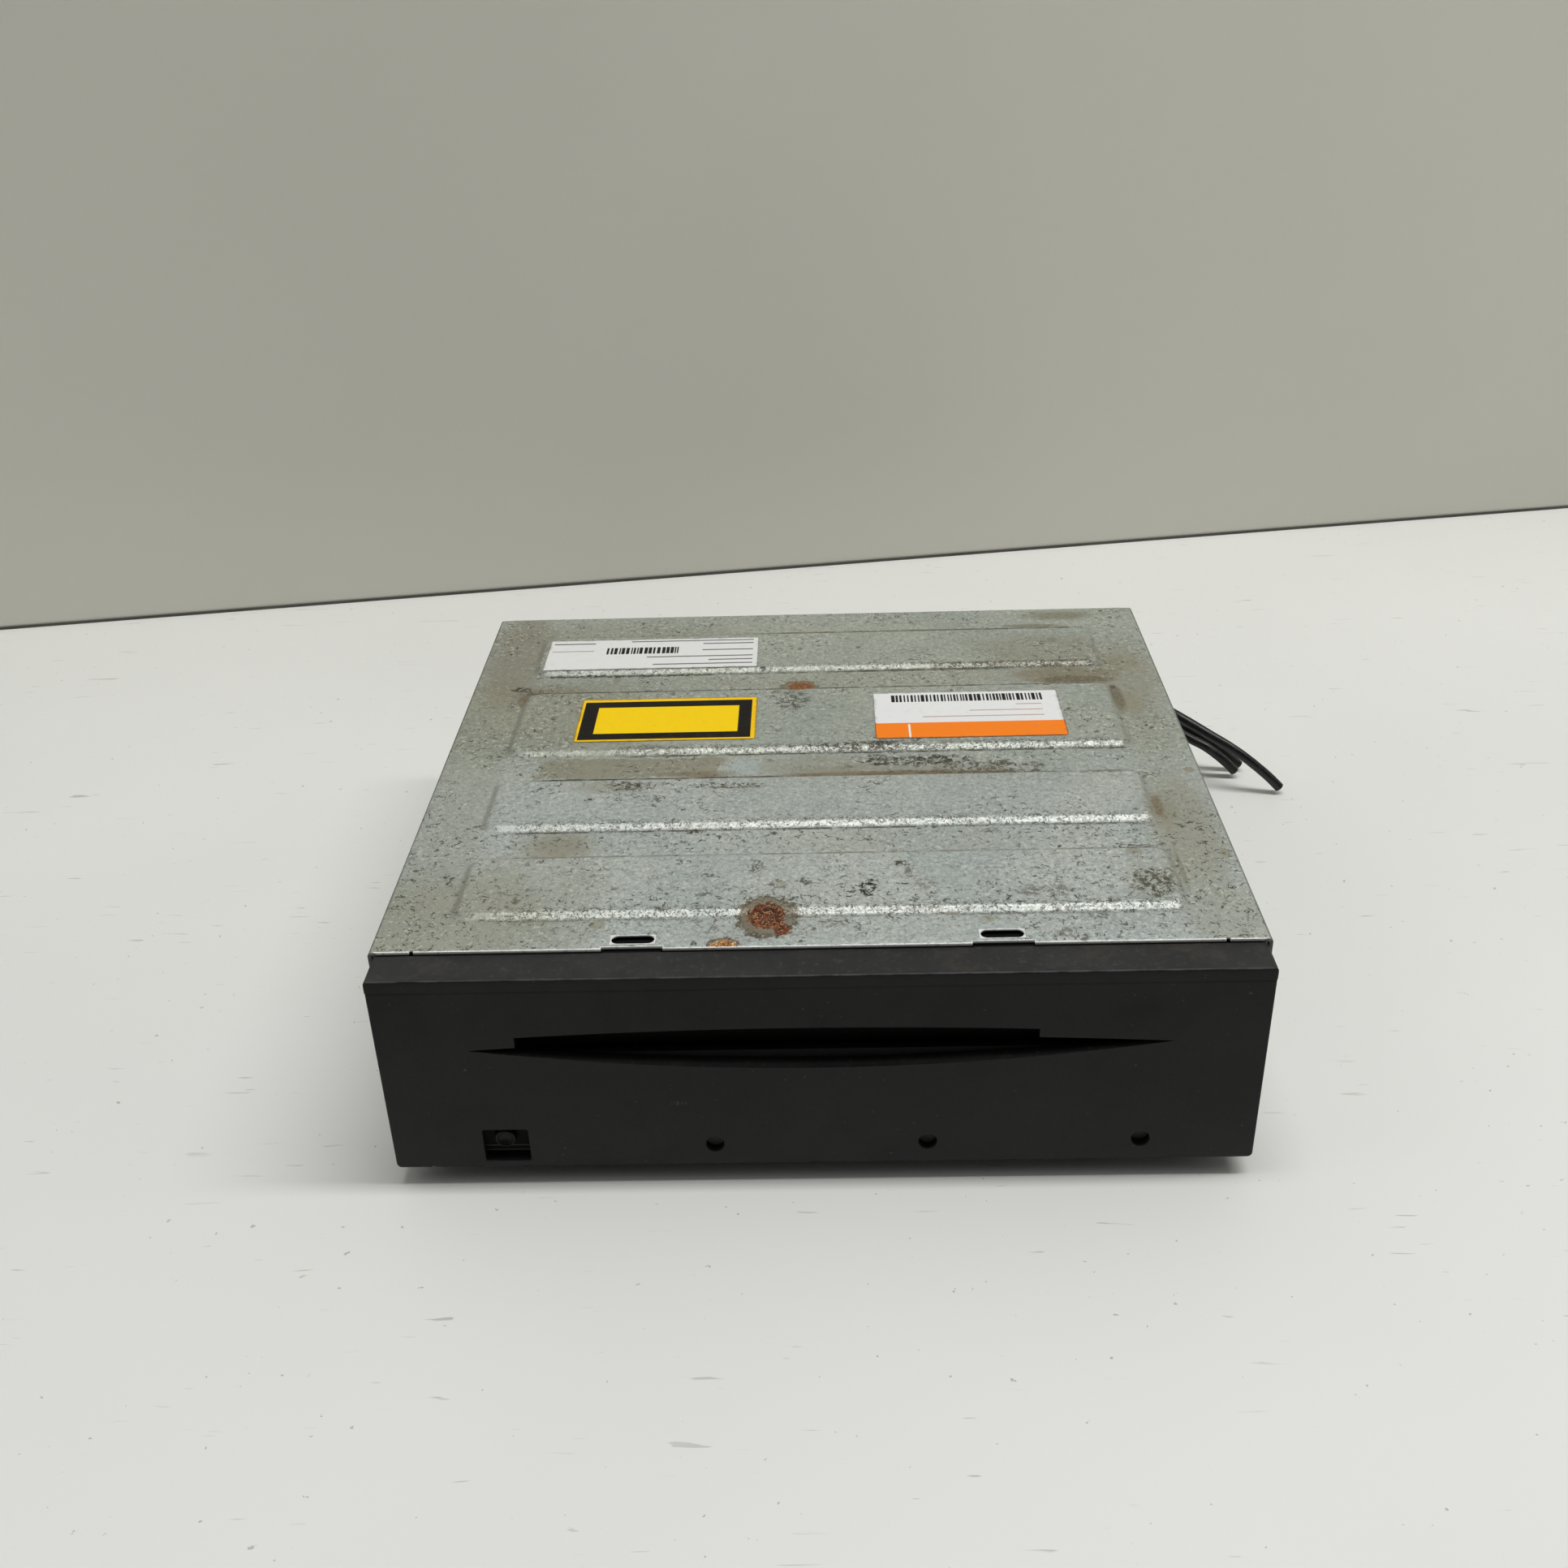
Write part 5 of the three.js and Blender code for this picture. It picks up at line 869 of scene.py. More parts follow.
# Brown stains and olive smudges, each in its own place. The grain shows through them.
stains = {
    "b3bfbf": [(-17, 75.3, 3.4, 4, 1.5, 0.8, 0.75)],
    "979475": [(35, 8.8, 2, 1.2, 1.8, 0.8, 0.5), (-7.6, 21.6, 1.3, 1.6, 2, 0.6, 0.55)],
    "8f8668": [(80, 105, 3.4, 6, 1.8, 1, 0.5), (82, 130, 5, 5, 1.8, 0.9, 0.4),
        (78.5, 50, 3.2, 7.5, 1.8, 1, 0.45), (88, 69.8, 1.3, 1.3, 0.9, 0.4, 0.7),
        (88.4, 32.6, 1.2, 1.7, 0.9, 0.4, 0.65), (-45, 8.9, 1.5, 2, 1.8, 0.8, 0.6)],
    "7d7e6f": [(20, 152.6, 34, 0.8, 1, 0.8, 0.6), (65, 142.8, 1.4, 1.5, 1, 0.6, 0.7)],
    "897c60": [(-5, 152.8, 11, 0.9, 1.2, 0.8, 0.6), (-70, 118, 9, 2.4, 1.8, 0.9, 0.45),
        (-53, 125, 1.1, 2, 1.4, 0.8, 0.5), (-48, 64.6, 9, 2.8, 2, 0.9, 0.25),
        (-57, 39.5, 6, 5, 1.8, 0.9, 0.4)],
    "7c7458": [(69, 161.5, 9, 3, 1.4, 0.9, 0.75), (64, 124, 12, 3.2, 1.8, 0.9, 0.4),
        (27.5, 10.9, 2, 0.6, 1.6, 0.6, 0.7), (61, 154.6, 8, 1.3, 1.4, 0.8, 0.8),
        (77.8, 26.5, 0.55, 8, 0.8, 0.8, 0.6), (68.6, 32.6, 1.8, 1.6, 2, 0.8, 0.6)],
    "7b684a": [(77.6, 53, 1.2, 5.2, 1.6, 0.8, 0.8), (-76.4, 113.2, 1.7, 3.4, 1.6, 0.8, 0.75),
        (20, 70.8, 24, 1.3, 1, 0.9, 0.7), (-28, 72, 9, 1.7, 1.6, 0.9, 0.6)],
    "6a5d42": [(68, 119.6, 10, 2, 1.8, 0.8, 0.85), (77.6, 108.5, 1.5, 7.5, 1.4, 0.7, 0.8),
        (-18, 70, 9, 0.5, 1, 0.6, 0.7)],
    "4e4736": [(77.2, 114.6, 0.9, 1, 1.2, 0.5, 0.85), (-57.6, 70.2, 2.8, 0.7, 1.2, 0.6, 0.85)],
}
for code, marks in stains.items():
    base = blended(gathered(marks) * patchy * on_top, base, code)

# Small scars, where the zinc has gone in dark broken specks.
speckled = ramp(grain(0.62, 4.0, 0.8, 0.9), 0.495, 0.51)
scars = {
    "727165": [(23, 21, 2.4, 1.8, 0.4), (-35, 25.4, 1.4, 0.9, 0.4), (-24.6, 9.8, 1.1, 1, 0.55),
        (3.6, 8, 2.6, 1.8, 0.5), (-21.6, 6.6, 1.4, 2, 0.5), (47.5, 17.6, 5.5, 2.6, 0.5),
        (38, 43.6, 2.4, 1.8, 0.45), (-44, 83.5, 10, 2.4, 0.55)],
    "616258": [(-24, 19, 2, 1.7, 0.6), (57, 8.8, 2.6, 1.4, 0.5), (70, 68.4, 11, 0.8, 0.6),
        (51, 3.4, 2.6, 2, 0.45), (-13, 28.8, 2, 3, 0.6), (85.5, 1.8, 1, 1.8, 0.55),
        (-37.5, 58, 1.3, 2.6, 0.55), (-2.7, 22.6, 1.6, 1.6, 0.65), (-3, 17, 1.4, 1, 0.5),
        (-5.5, 109, 4.2, 5.5, 0.7)],
    "5c5948": [(20, 25.6, 1.2, 1.9, 0.5), (-63.4, 17, 0.9, 1.3, 0.6), (71, 20, 5, 5.2, 0.75),
        (68, 35.8, 5.5, 0.8, 0.7), (13, 78.4, 4, 2.2, 0.65), (-20, 64.6, 7.5, 1.3, 0.75),
        (42, 73.8, 12, 2.2, 0.7), (-8.2, 21.8, 1.9, 2.4, 0.5), (53, 1.4, 1.4, 1.8, 0.6),
        (-74, 117.6, 3.2, 2.6, 0.6), (38, 71.4, 22, 1.1, 0.6), (38, 70.8, 12, 1.6, 0.7)],
    "494538": [(11.8, 21.6, 1.5, 1.5, 0.8), (-44, 65.2, 4.5, 2, 0.8), (-25, 1.2, 0.7, 1.4, 0.8),
        (18.3, 29.2, 1.9, 1.2, 0.85), (-14, 129, 0.8, 0.6, 0.9), (-53, 59.2, 1.1, 1.1, 0.8),
        (-28.5, 45.4, 3, 0.9, 0.9), (24, 77, 13, 2.6, 0.85), (-52, 127.3, 24, 0.8, 0.9),
        (-78, 120, 2.4, 1.5, 0.7), (12, 84, 12, 1.8, 0.7)],
    "241e14": [(10.6, 19.5, 1.5, 2.9, 1), (-16.4, 8.4, 0.75, 0.6, 1)],
}
for code, marks in scars.items():
    base = blended(gathered(marks, 2.2, 0.5) * speckled * on_top * 1.4, base, code)

# Rust: a beige halo with a ragged dark rim, and a heaped brown heart of lobes with pale glints.
rust_grain, rust_fleck = grain(0.95, 6.0, 0.75, 0.8), grain(1.3, 4.0, 0.75, 0.8)
rust_tint = blended(ramp(rust_grain, 0.44, 0.5), "451f0f", "743a1a")
orange = ramp(rust_grain, 0.53, 0.6) * between(ramp(across, -9.5, -12.5), 0.35, 1.0)
rust_tint = blended(orange, rust_tint, "ae5f24")
rust_tint = blended(ramp(rust_fleck, 0.56, 0.59) * 0.75, rust_tint, "c7a77c")
rust_tint = blended(ramp(rust_fleck, 0.46, 0.43) * 0.8, rust_tint, "2c120a")
pale_tint = blended(ramp(rust_grain, 0.44, 0.52), "6b3413", "b86f2c")
pale_tint = blended(ramp(rust_fleck, 0.53, 0.57), pale_tint, "efd9a6")
brown_tint = blended(ramp(rust_grain, 0.46, 0.54), "6b4526", "9a6238")
big_lobes = ((-10.4, 10.4, 4.0, 4.2, 1.6), (-7.2, 6.0, 1.8, 2.4, 2.0))
rust_spots = (
    ((-10.2, 10.0), (6.3, 7.0), "4a4234", big_lobes, rust_tint, 1.0),
    ((-18.9, 0.8), (3.4, 2.7), "4f4431", ((-18.7, 0.6, 2.6, 1.9, 1.8),), pale_tint, 0.3),
    ((-4.2, 118.6), (5.2, 3.6), "746a52", ((-3.8, 118.6, 3.4, 2.6, 1.8),), brown_tint, 0.3),
)
rusted = 0.0
for spot, (wide, deep), rim_code, lobes, tint, burnt in rust_spots:
    ring = oval(*spot, wide, deep, 1.3, 0.1, 1.0)
    rim = ring - ring * oval(*spot, wide * 0.84, deep * 0.84, 1.5, 0.2, 1.0)
    base = blended(ring * between(ramp(scales, 0.42, 0.58), 0.8, 0.97), base, "877d69")
    base = blended(rim * ramp(fine_mottle, 0.38, 0.52) * 0.9, base, rim_code)
    splashed = oval(*spot, wide * 1.3, deep * 1.3, 1.6, 0.5, 0.8) * ramp(curls, 0.56, 0.585)
    base = blended(splashed, base, "6b5f47")
    eaten = highest(0.0, *(oval(*lobe, 0.16, 1.0) for lobe in lobes))
    base = blended(eaten, base, tint)
    x, y, wide, deep, _ = lobes[0]
    core = oval(x + 0.8, y + 0.4, wide * 0.62, deep * 0.55, 1.6, 0.7, 0.75)
    base = blended(core * ramp(rust_fleck, 0.53, 0.48) * burnt, base, "421a0e")
    rusted = highest(rusted, eaten)

# The sheared front edge and the rims of the slots and notches are worn bright, and painted
# white as a highlight where the edges catch the lamp.
clip_x, clip_half, clip_near, clip_far, clip_round = 37.35, 4.4, 1.9, 4.75, 1.4
notch_half, notch_deep = 6.25, 0.8
beside = vector("LENGTH", stretched(place, (1, 0, 0)))
beside_clip = vector("LENGTH", xyz(beside - clip_x, 0, 0))
worn_and_highlit_rim = ramp(back_from_front, 0.45, 0.3)
for half, start, end in ((clip_half, clip_near, clip_far), (notch_half, -2.0, notch_deep)):
    rim = ramp(beside_clip, half + 0.3, half + 0.16)
    worn_and_highlit_rim = highest(worn_and_highlit_rim, rim * strip(back_from_front, start - 0.22, end + 0.22, 0.07))
worn_and_highlit_rim = worn_and_highlit_rim * on_top * ramp(beside, 89.9, 89.5)
chipped = between(ramp(grain(0.9, 4.0, 0.7), 0.36, 0.46), 0.4, 0.9)
base = blended(worn_and_highlit_rim * chipped, base, "fafaf6")

# The long edges, where the sheet is folded down, are painted dark: painted shade on the
# rounded folds. The clip slots' walls are painted near black: painted shade inside them.
base = blended(ramp(beside, 90.0, 90.6) * 0.7, base, "4f4d44")
shaded_slot_walls = strip(back_from_front, 1.5, 5.2, 0.1) * strip(beside, 32.6, 42.2, 0.1)
base = blended(shaded_slot_walls * ramp(high, 53.62, 53.5), base, "0c0c0c")
relief = scales * 0.5 + oval(-10.2, 9.6, 4.2, 4.8, 1.6, 0.3, 2.5) * rust_grain - pocked * 0.4
feed(
    base,
    roughness=calc("ADD", between(scales, 0.34, 0.56), rusted * 0.4, clamp=True),
    metallic=between(rusted, 0.35, 0.0),
    normal=bumped(relief, 0.09),
)

cut_edge = finish_of("cut_edge", roughness=0.45)
across, along, high = split(place)
# The cut faces and broken edges are bare steel, painted white as a highlight so that they show as a bright
# line.
base = blended(ramp(grain(0.8, 4.0), 0.32, 0.45), "d9d9d4", "ffffff")
# Lower on the cut faces, at the side flanges and in the clip slots they are painted dark: painted shade.
base = blended(ramp(high, 53.5, 53.3), base, "55554f")
beside = vector("LENGTH", stretched(place, (1, 0, 0)))
base = blended(ramp(beside, 88.6, 89.6) * 0.85, base, "4c4a43")
shaded_slot_walls = strip(along - cover_front, 1.3, 5.4, 0.1) * strip(beside, 32.4, 42.4, 0.1)
base = blended(shaded_slot_walls * ramp(high, 53.66, 53.56), base, "0c0c0c")
feed(base, normal=bumped(grain(3.0, 2.0), 0.03))

panels_tree = pressed_panels_tree()
shaped(cover_sheet, panels_tree, Material=galvanised)
cover_sheet.data.materials.append(cut_edge)
thick = cover_sheet.modifiers.new("gauge", "SOLIDIFY")
thick.thickness, thick.offset, thick.use_even_offset = sheet_thickness * MM, -1, True
thick.material_offset_rim = 1
settled(cover_sheet)


screw_ys, screw_side_z, screw_rear_x, screw_rear_z, screw_hole = (-62, 70), 45.1, 62, 49.4, 1.65
front_nick_x, front_nick_half, front_nick_deep = 82, 0.45, 0.9
above_and_below = (51, 57)
openings = []
for side in (-1, 1):
    for x, half, start, end, radius in (
        (clip_x, clip_half, clip_near, clip_far, clip_round), (clip_x, notch_half, -2, notch_deep, 0),
        (front_nick_x, front_nick_half, -2, front_nick_deep, 0),
    ):
        hole = (side * x - half, side * x + half, cover_front + start, cover_front + end)
        openings.append(prism(rounded(*hole, radius) if radius else box_outline(*hole), *above_and_below))
    for y in screw_ys:
        openings.append(prism(hole_ring(y, screw_side_z, screw_hole), *sorted((side * 88, side * 93)), 0))
    openings.append(prism(hole_ring(side * screw_rear_x, screw_rear_z, screw_hole), 84, 89, 1))
carved(cover_sheet, openings, "DIFFERENCE", cut_edge)
sheared = cover_sheet.modifiers.new("sheared_edges", "BEVEL")
sheared.width, sheared.segments, sheared.limit_method = 0.24 * MM, 2, "ANGLE"
sheared.angle_limit, sheared.material = math.radians(60), 1
settled(cover_sheet)
shaded_smooth(cover_sheet, 30)
carried(cover_sheet, "case", "galvanised_sheet", "top_cover")

# Three paper labels lie on the pressed panels and follow their slopes. They carry no
# words: only plain colours, thin ruled lines and plain bars.
label_lift, label_thickness = 0.03, 0.09


def label_piece(name, x0, x1, y0, y1, radius, material):
    """Paper cut to its outline with round corners, and laid on the cover's panels by their tree."""
    mesh = bmesh.new()
    xs_made = stations(x0 - 1, x1 + 1, 2.0) + [x1 + 1]
    ys_made = stations(y0 - 1, y1 + 1, 0.4) + [y1 + 1]
    rows = [[(x, y + cover_front, cover_top + label_lift) for x in xs_made] for y in ys_made]
    skinned(mesh, points_of(mesh, rows), ring=False)
    piece = object_of(name, ended(mesh, name))
    paper = piece.modifiers.new("paper", "SOLIDIFY")
    paper.thickness, paper.offset = label_thickness * MM, 1
    settled(piece)
    outline = rounded(x0, x1, y0 + cover_front, y1 + cover_front, radius)
    carved(piece, [prism(outline, 52, 57)], "INTERSECT")
    shaped(piece, panels_tree, Material=material)
    shaded_smooth(piece, 40)
    carried(piece, "case", "white_plastic")


def label_finish(name, base_code, edges, marks, grimy):
    """Printed paper: a ground colour, flat marks, grime most at the edges, and a thin dark rim."""
    material = finish_of(name, roughness=0.4, specular=0.12)
    across, along, _ = split(place)
    back = along - cover_front

    def inside(x0, x1, y0, y1, inset, soft):
        return strip(across, x0 + inset, x1 - inset, soft) * strip(back, y0 + inset, y1 - inset, soft)

    colour = tone(base_code)
    for *spot, code in marks:
        colour = blended(inside(*spot, 0, 0.08), colour, code)
    middle, grime = inside(*edges, 0.6, 0.6), ramp(grain(0.5, 6.0, 0.75), 0.5, 0.85)
    colour = blended((1.0 - middle) * ramp(grain(0.3, 5.0, 0.7), 0.47, 0.62) * 0.45, colour, "6d6452")
    colour = blended((1.0 - inside(*edges, 0.28, 0.1)) * 0.6, colour, "4d4433")
    colour = blended(grime * grimy, colour, "8d8672")
    fibre = between(grain(2.0, 3.0, 0.6), 0.95, 1.05)
    feed(
        put("ShaderNodeVectorMath", {0: colour, "Scale": fibre}, operation="SCALE"),
        roughness=between(grime, 0.32, 0.6),
        normal=bumped(grain(1.2, 3.0), 0.02),
    )
    return material


random.seed(11)


def plain_bars(x0, x1, y0, y1, code):
    """A row of upright bars with chance widths, which stand for no number."""
    bars, x = [], x0
    while x < x1:
        wide = random.choice((0.4, 0.6, 0.9))
        bars.append((x, x + wide, y0, y1, code))
        x += wide + random.choice((0.25, 0.35, 0.5))
    return bars


white_marks = [(-72.5, -61.0, 146.0, 146.7, "6c6c70"), (-72.5, -61.0, 141.3, 141.7, "8d8d8f")]
for start, y in ((-51, 147.2), (-31, 145.1), (-31, 141.0), (-46, 137.0), (-29, 134.6), (-44, 132.2)):
    white_marks.append((start, -17.0, y - 0.3, y + 0.35, "707075"))
white_marks += plain_bars(-57.4, -37.4, 139.2, 143.3, "161616")
yellow_marks = [(-59.3, -16.2, 88.8, 109.6, "100b08"), (-55.6, -19.5, 92.0, 106.4, "ffd400")]
orange_marks = [(14, 63.5, 86, 94.7, "ff861c"), (23.1, 23.6, 86, 93.9, "f4f2ec")]
orange_marks += plain_bars(19.5, 57.6, 106.3, 110.2, "161616")
for line in range(3):
    orange_marks.append((27 + 12 * line, 57.5, 97.6 + 3.1 * line, 98.1 + 3.1 * line, "c3a79b"))
for name, edges, radius, code, marks, grimy in (
    ("label_white", (-73.7, -15.5, 129.6, 148.8), 0.8, "e6e6e4", white_marks, 0.25),
    ("label_yellow", (-60.2, -14.9, 87.8, 111.2), 1.2, "ffcc08", yellow_marks, 0.16),
    ("label_orange", (14.8, 62.2, 86.6, 111.8), 1.2, "eaeaea", orange_marks, 0.2),
):
    label_piece(name, *edges, radius, label_finish(name, code, edges, marks, grimy))


# Six pan-head screws with cross recesses hold the cover: two in each side and two in the
# rear. They are plated steel, cold-headed and thread-rolled, and each stopped where it would.
def screws_tree():
    """Makes one screw and sets it on every point, its head facing along the point's lean."""
    given = tree_of("pan_head_screws", {
        "Head Radius": 3.0, "Head Height": 1.85, "Shank Radius": 1.5, "Shank Length": 5.0,
        "Thread Pitch": 0.6, "Recess Width": 0.75, "Recess Span": 3.3, "Recess Depth": 1.0,
    })
    away = vector("LENGTH", vector("MULTIPLY", put("GeometryNodeInputPosition"), (1, 1, 0)))
    x, y, z = split(put("GeometryNodeInputPosition"))

    def rod(sides, rings, rounds, part, length, fill):
        counts = {"Vertices": sides, "Side Segments": rings, "Fill Segments": rounds}
        sizes = {"Radius": given[part + " Radius"], "Depth": given[length]}
        return put("GeometryNodeMeshCylinder", counts | sizes, fill_type=fill)

    def raised(mesh, height):
        return put("GeometryNodeTransform", {"Geometry": mesh, "Translation": xyz(0, 0, height)})

    def joined(what, base, *others):
        """Cuts the others out of the base, or makes one of the others."""
        first = {"Mesh 1": base} if base else {}
        cut = put("GeometryNodeMeshBoolean", first, operation=what, solver="EXACT")
        for other in others:
            tree.links.new(other.socket, cut.socket.node.inputs["Mesh 2"])
        return cut

    head = raised(rod(40, 3, 8, "Head", "Head Height", "TRIANGLE_FAN"), given["Head Height"] * 0.35)
    fall = highest(z, 0.0) * calc("POWER", calc("DIVIDE", away, given["Head Radius"]), 3.0) * -0.55
    head = put("GeometryNodeSetPosition", {0: head, "Offset": xyz(0, 0, fall)})
    recess = []
    for wide, long in (("Recess Width", "Recess Span"), ("Recess Span", "Recess Width")):
        bar_size = xyz(given[wide], given[long], given["Recess Depth"] * 2.0)
        bar = put("GeometryNodeMeshCube", {"Size": bar_size})
        recess.append(raised(bar, given["Head Height"] * 0.85))
    head = joined("DIFFERENCE", head, *recess)

    shank = raised(rod(20, 34, 1, "Shank", "Shank Length", "NGON"), given["Shank Length"] * -0.5)
    turn = calc("DIVIDE", calc("ARCTAN2", y, x), 2 * math.pi)
    climb = calc("FRACT", turn + calc("DIVIDE", z, given["Thread Pitch"]))
    narrow = calc("ABSOLUTE", climb - 0.5) * 0.28 + 0.86
    shank = put("GeometryNodeSetPosition", {0: shank, "Position": xyz(x * narrow, y * narrow, z)})

    screw = joined("UNION", None, head, shank)
    lean = put("GeometryNodeInputNamedAttribute", {"Name": "lean"}, data_type="FLOAT_VECTOR")
    faced = put("FunctionNodeAlignRotationToVector", {"Vector": lean}, axis="Z")
    put("FunctionNodeRandomValue", {2: 0.0, 3: math.pi / 2, "Seed": 5}, data_type="FLOAT")
    spun = put("FunctionNodeAxisAngleToRotation", {"Axis": (0, 0, 1), "Angle": out(1)})
    turns = {"Rotation": faced, "Rotate By": spun}
    faced = put("FunctionNodeRotateRotation", turns, rotation_space="LOCAL")
    spots = {"Points": given["Geometry"], "Instance": screw, "Rotation": faced}
    return tree_ended(given, put("GeometryNodeInstanceOnPoints", spots))


screw_plating = finish_of("screw_plating", metallic=1.0, roughness=0.3)
tarnish = ramp(grain(0.9, 4.0, 0.65), 0.42, 0.7)
feed(
    blended(tarnish, "c3c1b8", "8b8778"), roughness=between(tarnish, 0.24, 0.5),
    normal=bumped(grain(4.0, 3.0), 0.02),
)
side_seat, rear_seat = cover_half + 0.3, cover_rear + fold_radius + 0.3
screw_spots = [((side * side_seat, y, screw_side_z), (side, 0, 0)) for side in (-1, 1) for y in screw_ys]
screw_spots += [((side * screw_rear_x, rear_seat, screw_rear_z), (0, 1, 0)) for side in (-1, 1)]
screw_mesh = bpy.data.meshes.new("cover_screws")
screw_mesh.from_pydata([Vector(spot) * MM for spot, _ in screw_spots], [], [])
leans = screw_mesh.attributes.new("lean", "FLOAT_VECTOR", "POINT")
for step, (_, lean_way) in enumerate(screw_spots):
    leans.data[step].vector = lean_way
cover_screws = shaped(object_of("cover_screws", screw_mesh), screws_tree(), Material=screw_plating)
shaded_smooth(cover_screws, 32)
carried(cover_screws, "case", "bright_steel", *(f"cover_screw_{number}" for number in range(1, 7)))


# The tray and the rear panel are folded zinc-plated sheet. The copies have their edges
# broken as a press leaves them, and the cut edges show bare steel.
def eased(node, slot_name, material, width, steps=2):
    """A merged copy of a CAD node with its sharp edges rounded, which stands for the node."""
    mesh = bmesh.new()
    mesh.from_mesh(nodes[node].data)
    bmesh.ops.remove_doubles(mesh, verts=mesh.verts, dist=0.00001)
    bmesh.ops.dissolve_limit(mesh, angle_limit=math.radians(1), verts=mesh.verts, edges=mesh.edges)
    piece = object_of(node + "_eased", ended(mesh, node + "_eased"), material)
    made = piece.modifiers.new("eased", "BEVEL")
    made.width, made.segments, made.limit_method = width * MM, steps, "ANGLE"
    made.angle_limit = math.radians(40)
    settled(piece)
    shaded_smooth(piece, 35)
    carried(piece, nodes[node]["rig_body"], slot_name, node)


def sheet_steel(name, light, dark, grimy):
    """Zinc-plated sheet: big soft spangles, fine rolling lines and a little grime."""
    material = finish_of(name, metallic=0.85, roughness=0.4)
    put("ShaderNodeTexVoronoi", {"Vector": place, "Scale": 0.16})
    spangle = put("ShaderNodeSeparateColor", {0: out("Color")})
    rolled = grain(1.0, 3.0, 0.6, on=stretched(place, (0.06, 2.2, 2.2)))
    mixed = spangle * 0.45 + rolled * 0.6
    colour = blended(mixed, dark, light)
    dull = ramp(grain(0.04, 5.0, 0.65, 0.5), 0.45, 0.75)
    colour = blended(dull * grimy, colour, "6e6858")
    colour = blended(ramp(grain(0.7, 4.0, 0.7), 0.66, 0.72) * 0.45, colour, "57513f")
    feed(
        colour, roughness=between(dull + rolled * 0.4, 0.3, 0.56), metallic=between(dull, 0.9, 0.65),
        normal=bumped(rolled, 0.02),
    )
    return material


tray_steel = sheet_steel("tray_steel", "b4b7b4", "8d9190", 0.5)
for node, width in (("chassis_tray", 0.22), ("rear_panel", 0.18)):
    eased(node, "plated_steel", tray_steel, width)


# What shows at the back: a moulded connector housing, a nickelled aerial socket, and the
# rubber grommet that the leads pass through.
def moulded(name, base_code, dust_code, rough=0.5, texture=0.03, specular=0.4):
    """Moulded plastic: a fine spark-eroded grain, faint flow marks, and dust in its low places."""
    material = finish_of(name, roughness=rough, specular=specular)
    flow = ramp(grain(0.08, 4.0, 0.6, 0.8), 0.35, 0.7)
    dusty = ramp(grain(0.7, 6.0, 0.7), 0.52, 0.8)
    colour = put(
        "ShaderNodeVectorMath", {0: tone(base_code)[:3], "Scale": between(flow, 0.85, 1.15)},
        operation="SCALE",
    )
    feed(
        blended(dusty * 0.4, colour, dust_code),
        roughness=between(flow + dusty, rough - 0.06, rough + 0.12),
        normal=bumped(grain(5.0, 3.0, 0.6), texture),
    )
    return material


def turned(name, light, dark, along, rough=0.25):
    """Bright metal with fine tool or brush marks that run round it, across the given axis."""
    material = finish_of(name, metallic=1.0, roughness=rough)
    marks = grain(1.0, 3.0, 0.6, on=stretched(place, along))
    dull = ramp(grain(0.15, 4.0), 0.4, 0.75)
    colour = blended(marks, dark, light)
    feed(
        blended(dull * 0.35, colour, "6f6a5e"),
        roughness=between(marks + dull, rough - 0.06, rough + 0.14), normal=bumped(marks, 0.012),
    )
    return material


connector_black = moulded("connector_black", "1a1a1c", "4b4a46", 0.45)
socket_nickel = turned("socket_nickel", "c9c4b4", "958f80", (0.3, 3.5, 0.3))
grommet_rubber = moulded("grommet_rubber", "111112", "3d3c39", 0.72, 0.05, 0.25)
eased("main_connector", "black_plastic", connector_black, 0.2)
eased("aerial_socket", "bright_steel", socket_nickel, 0.15)
eased("lead_grommet", "black_rubber", grommet_rubber, 0.35, 3)

# Behind the front: the plunger with a dished end shows in the window, in a dark frame. A
# flocked flap hangs on its pin behind the slot and keeps the dust out.
plunger_black = finish_of("plunger_black", roughness=0.5, specular=0.3)
rubbed = ramp(grain(0.8, 4.0), 0.3, 0.65)
feed(blended(rubbed, "101010", "1a1a1a"), normal=bumped(grain(6.0, 3.0), 0.02))
plunger_x, plunger_z = -66.3, 11.5
plunger_profile = (
    (0, -87.3), (0.7, -87.36), (1.3, -87.62), (1.68, -88.05), (1.76, -88.26), (1.88, -88.32),
    (2.04, -88.25), (2.16, -88.06), (2.2, -87.8), (2.2, -81.2), (2.3, -81.06), (3.05, -81.03),
    (3.2, -80.9), (3.2, -80.15), (3.05, -80.03), (0, -80.03),
)
plunger_rings = []
for reach_out, y in plunger_profile:
    circle = arc(plunger_x, plunger_z, max(reach_out, 0.02), 0, 9, 40)
    plunger_rings.append([(x, y, z) for x, z in circle])
plunger = object_of("eject_plunger", rings_mesh("eject_plunger", plunger_rings), plunger_black)
shaded_smooth(plunger, 40)
carried(plunger, "eject_button", "black_plastic", "eject_button")

frame_black = finish_of("frame_black", roughness=0.75, specular=0.15)
dusty = ramp(grain(0.5, 5.0, 0.7), 0.5, 0.8)
across, _, high = split(place)
base = blended(dusty * 0.3, "121212", "2b2a28")
# Behind each round hole the frame is painted lighter: painted light, so that the back of the hole shows
# grey though it lies in shade.
for hole_x in hole_xs:
    seen = strip(across, hole_x - 3, hole_x + 3, 0.5) * strip(high, 6, 14, 0.5)
    base = blended(seen, base, "565656")
for ledge in (7.2, 8.4):
    lit_ledge = strip(high, ledge, ledge + 0.25, 0.08) * strip(across, -71.5, -60.5, 0.5)
    base = blended(lit_ledge, base, "4a4a4a")
feed(base, normal=bumped(grain(4.0, 3.0), 0.03))
eased("backing_frame", "dark_plastic", frame_black, 0.15)

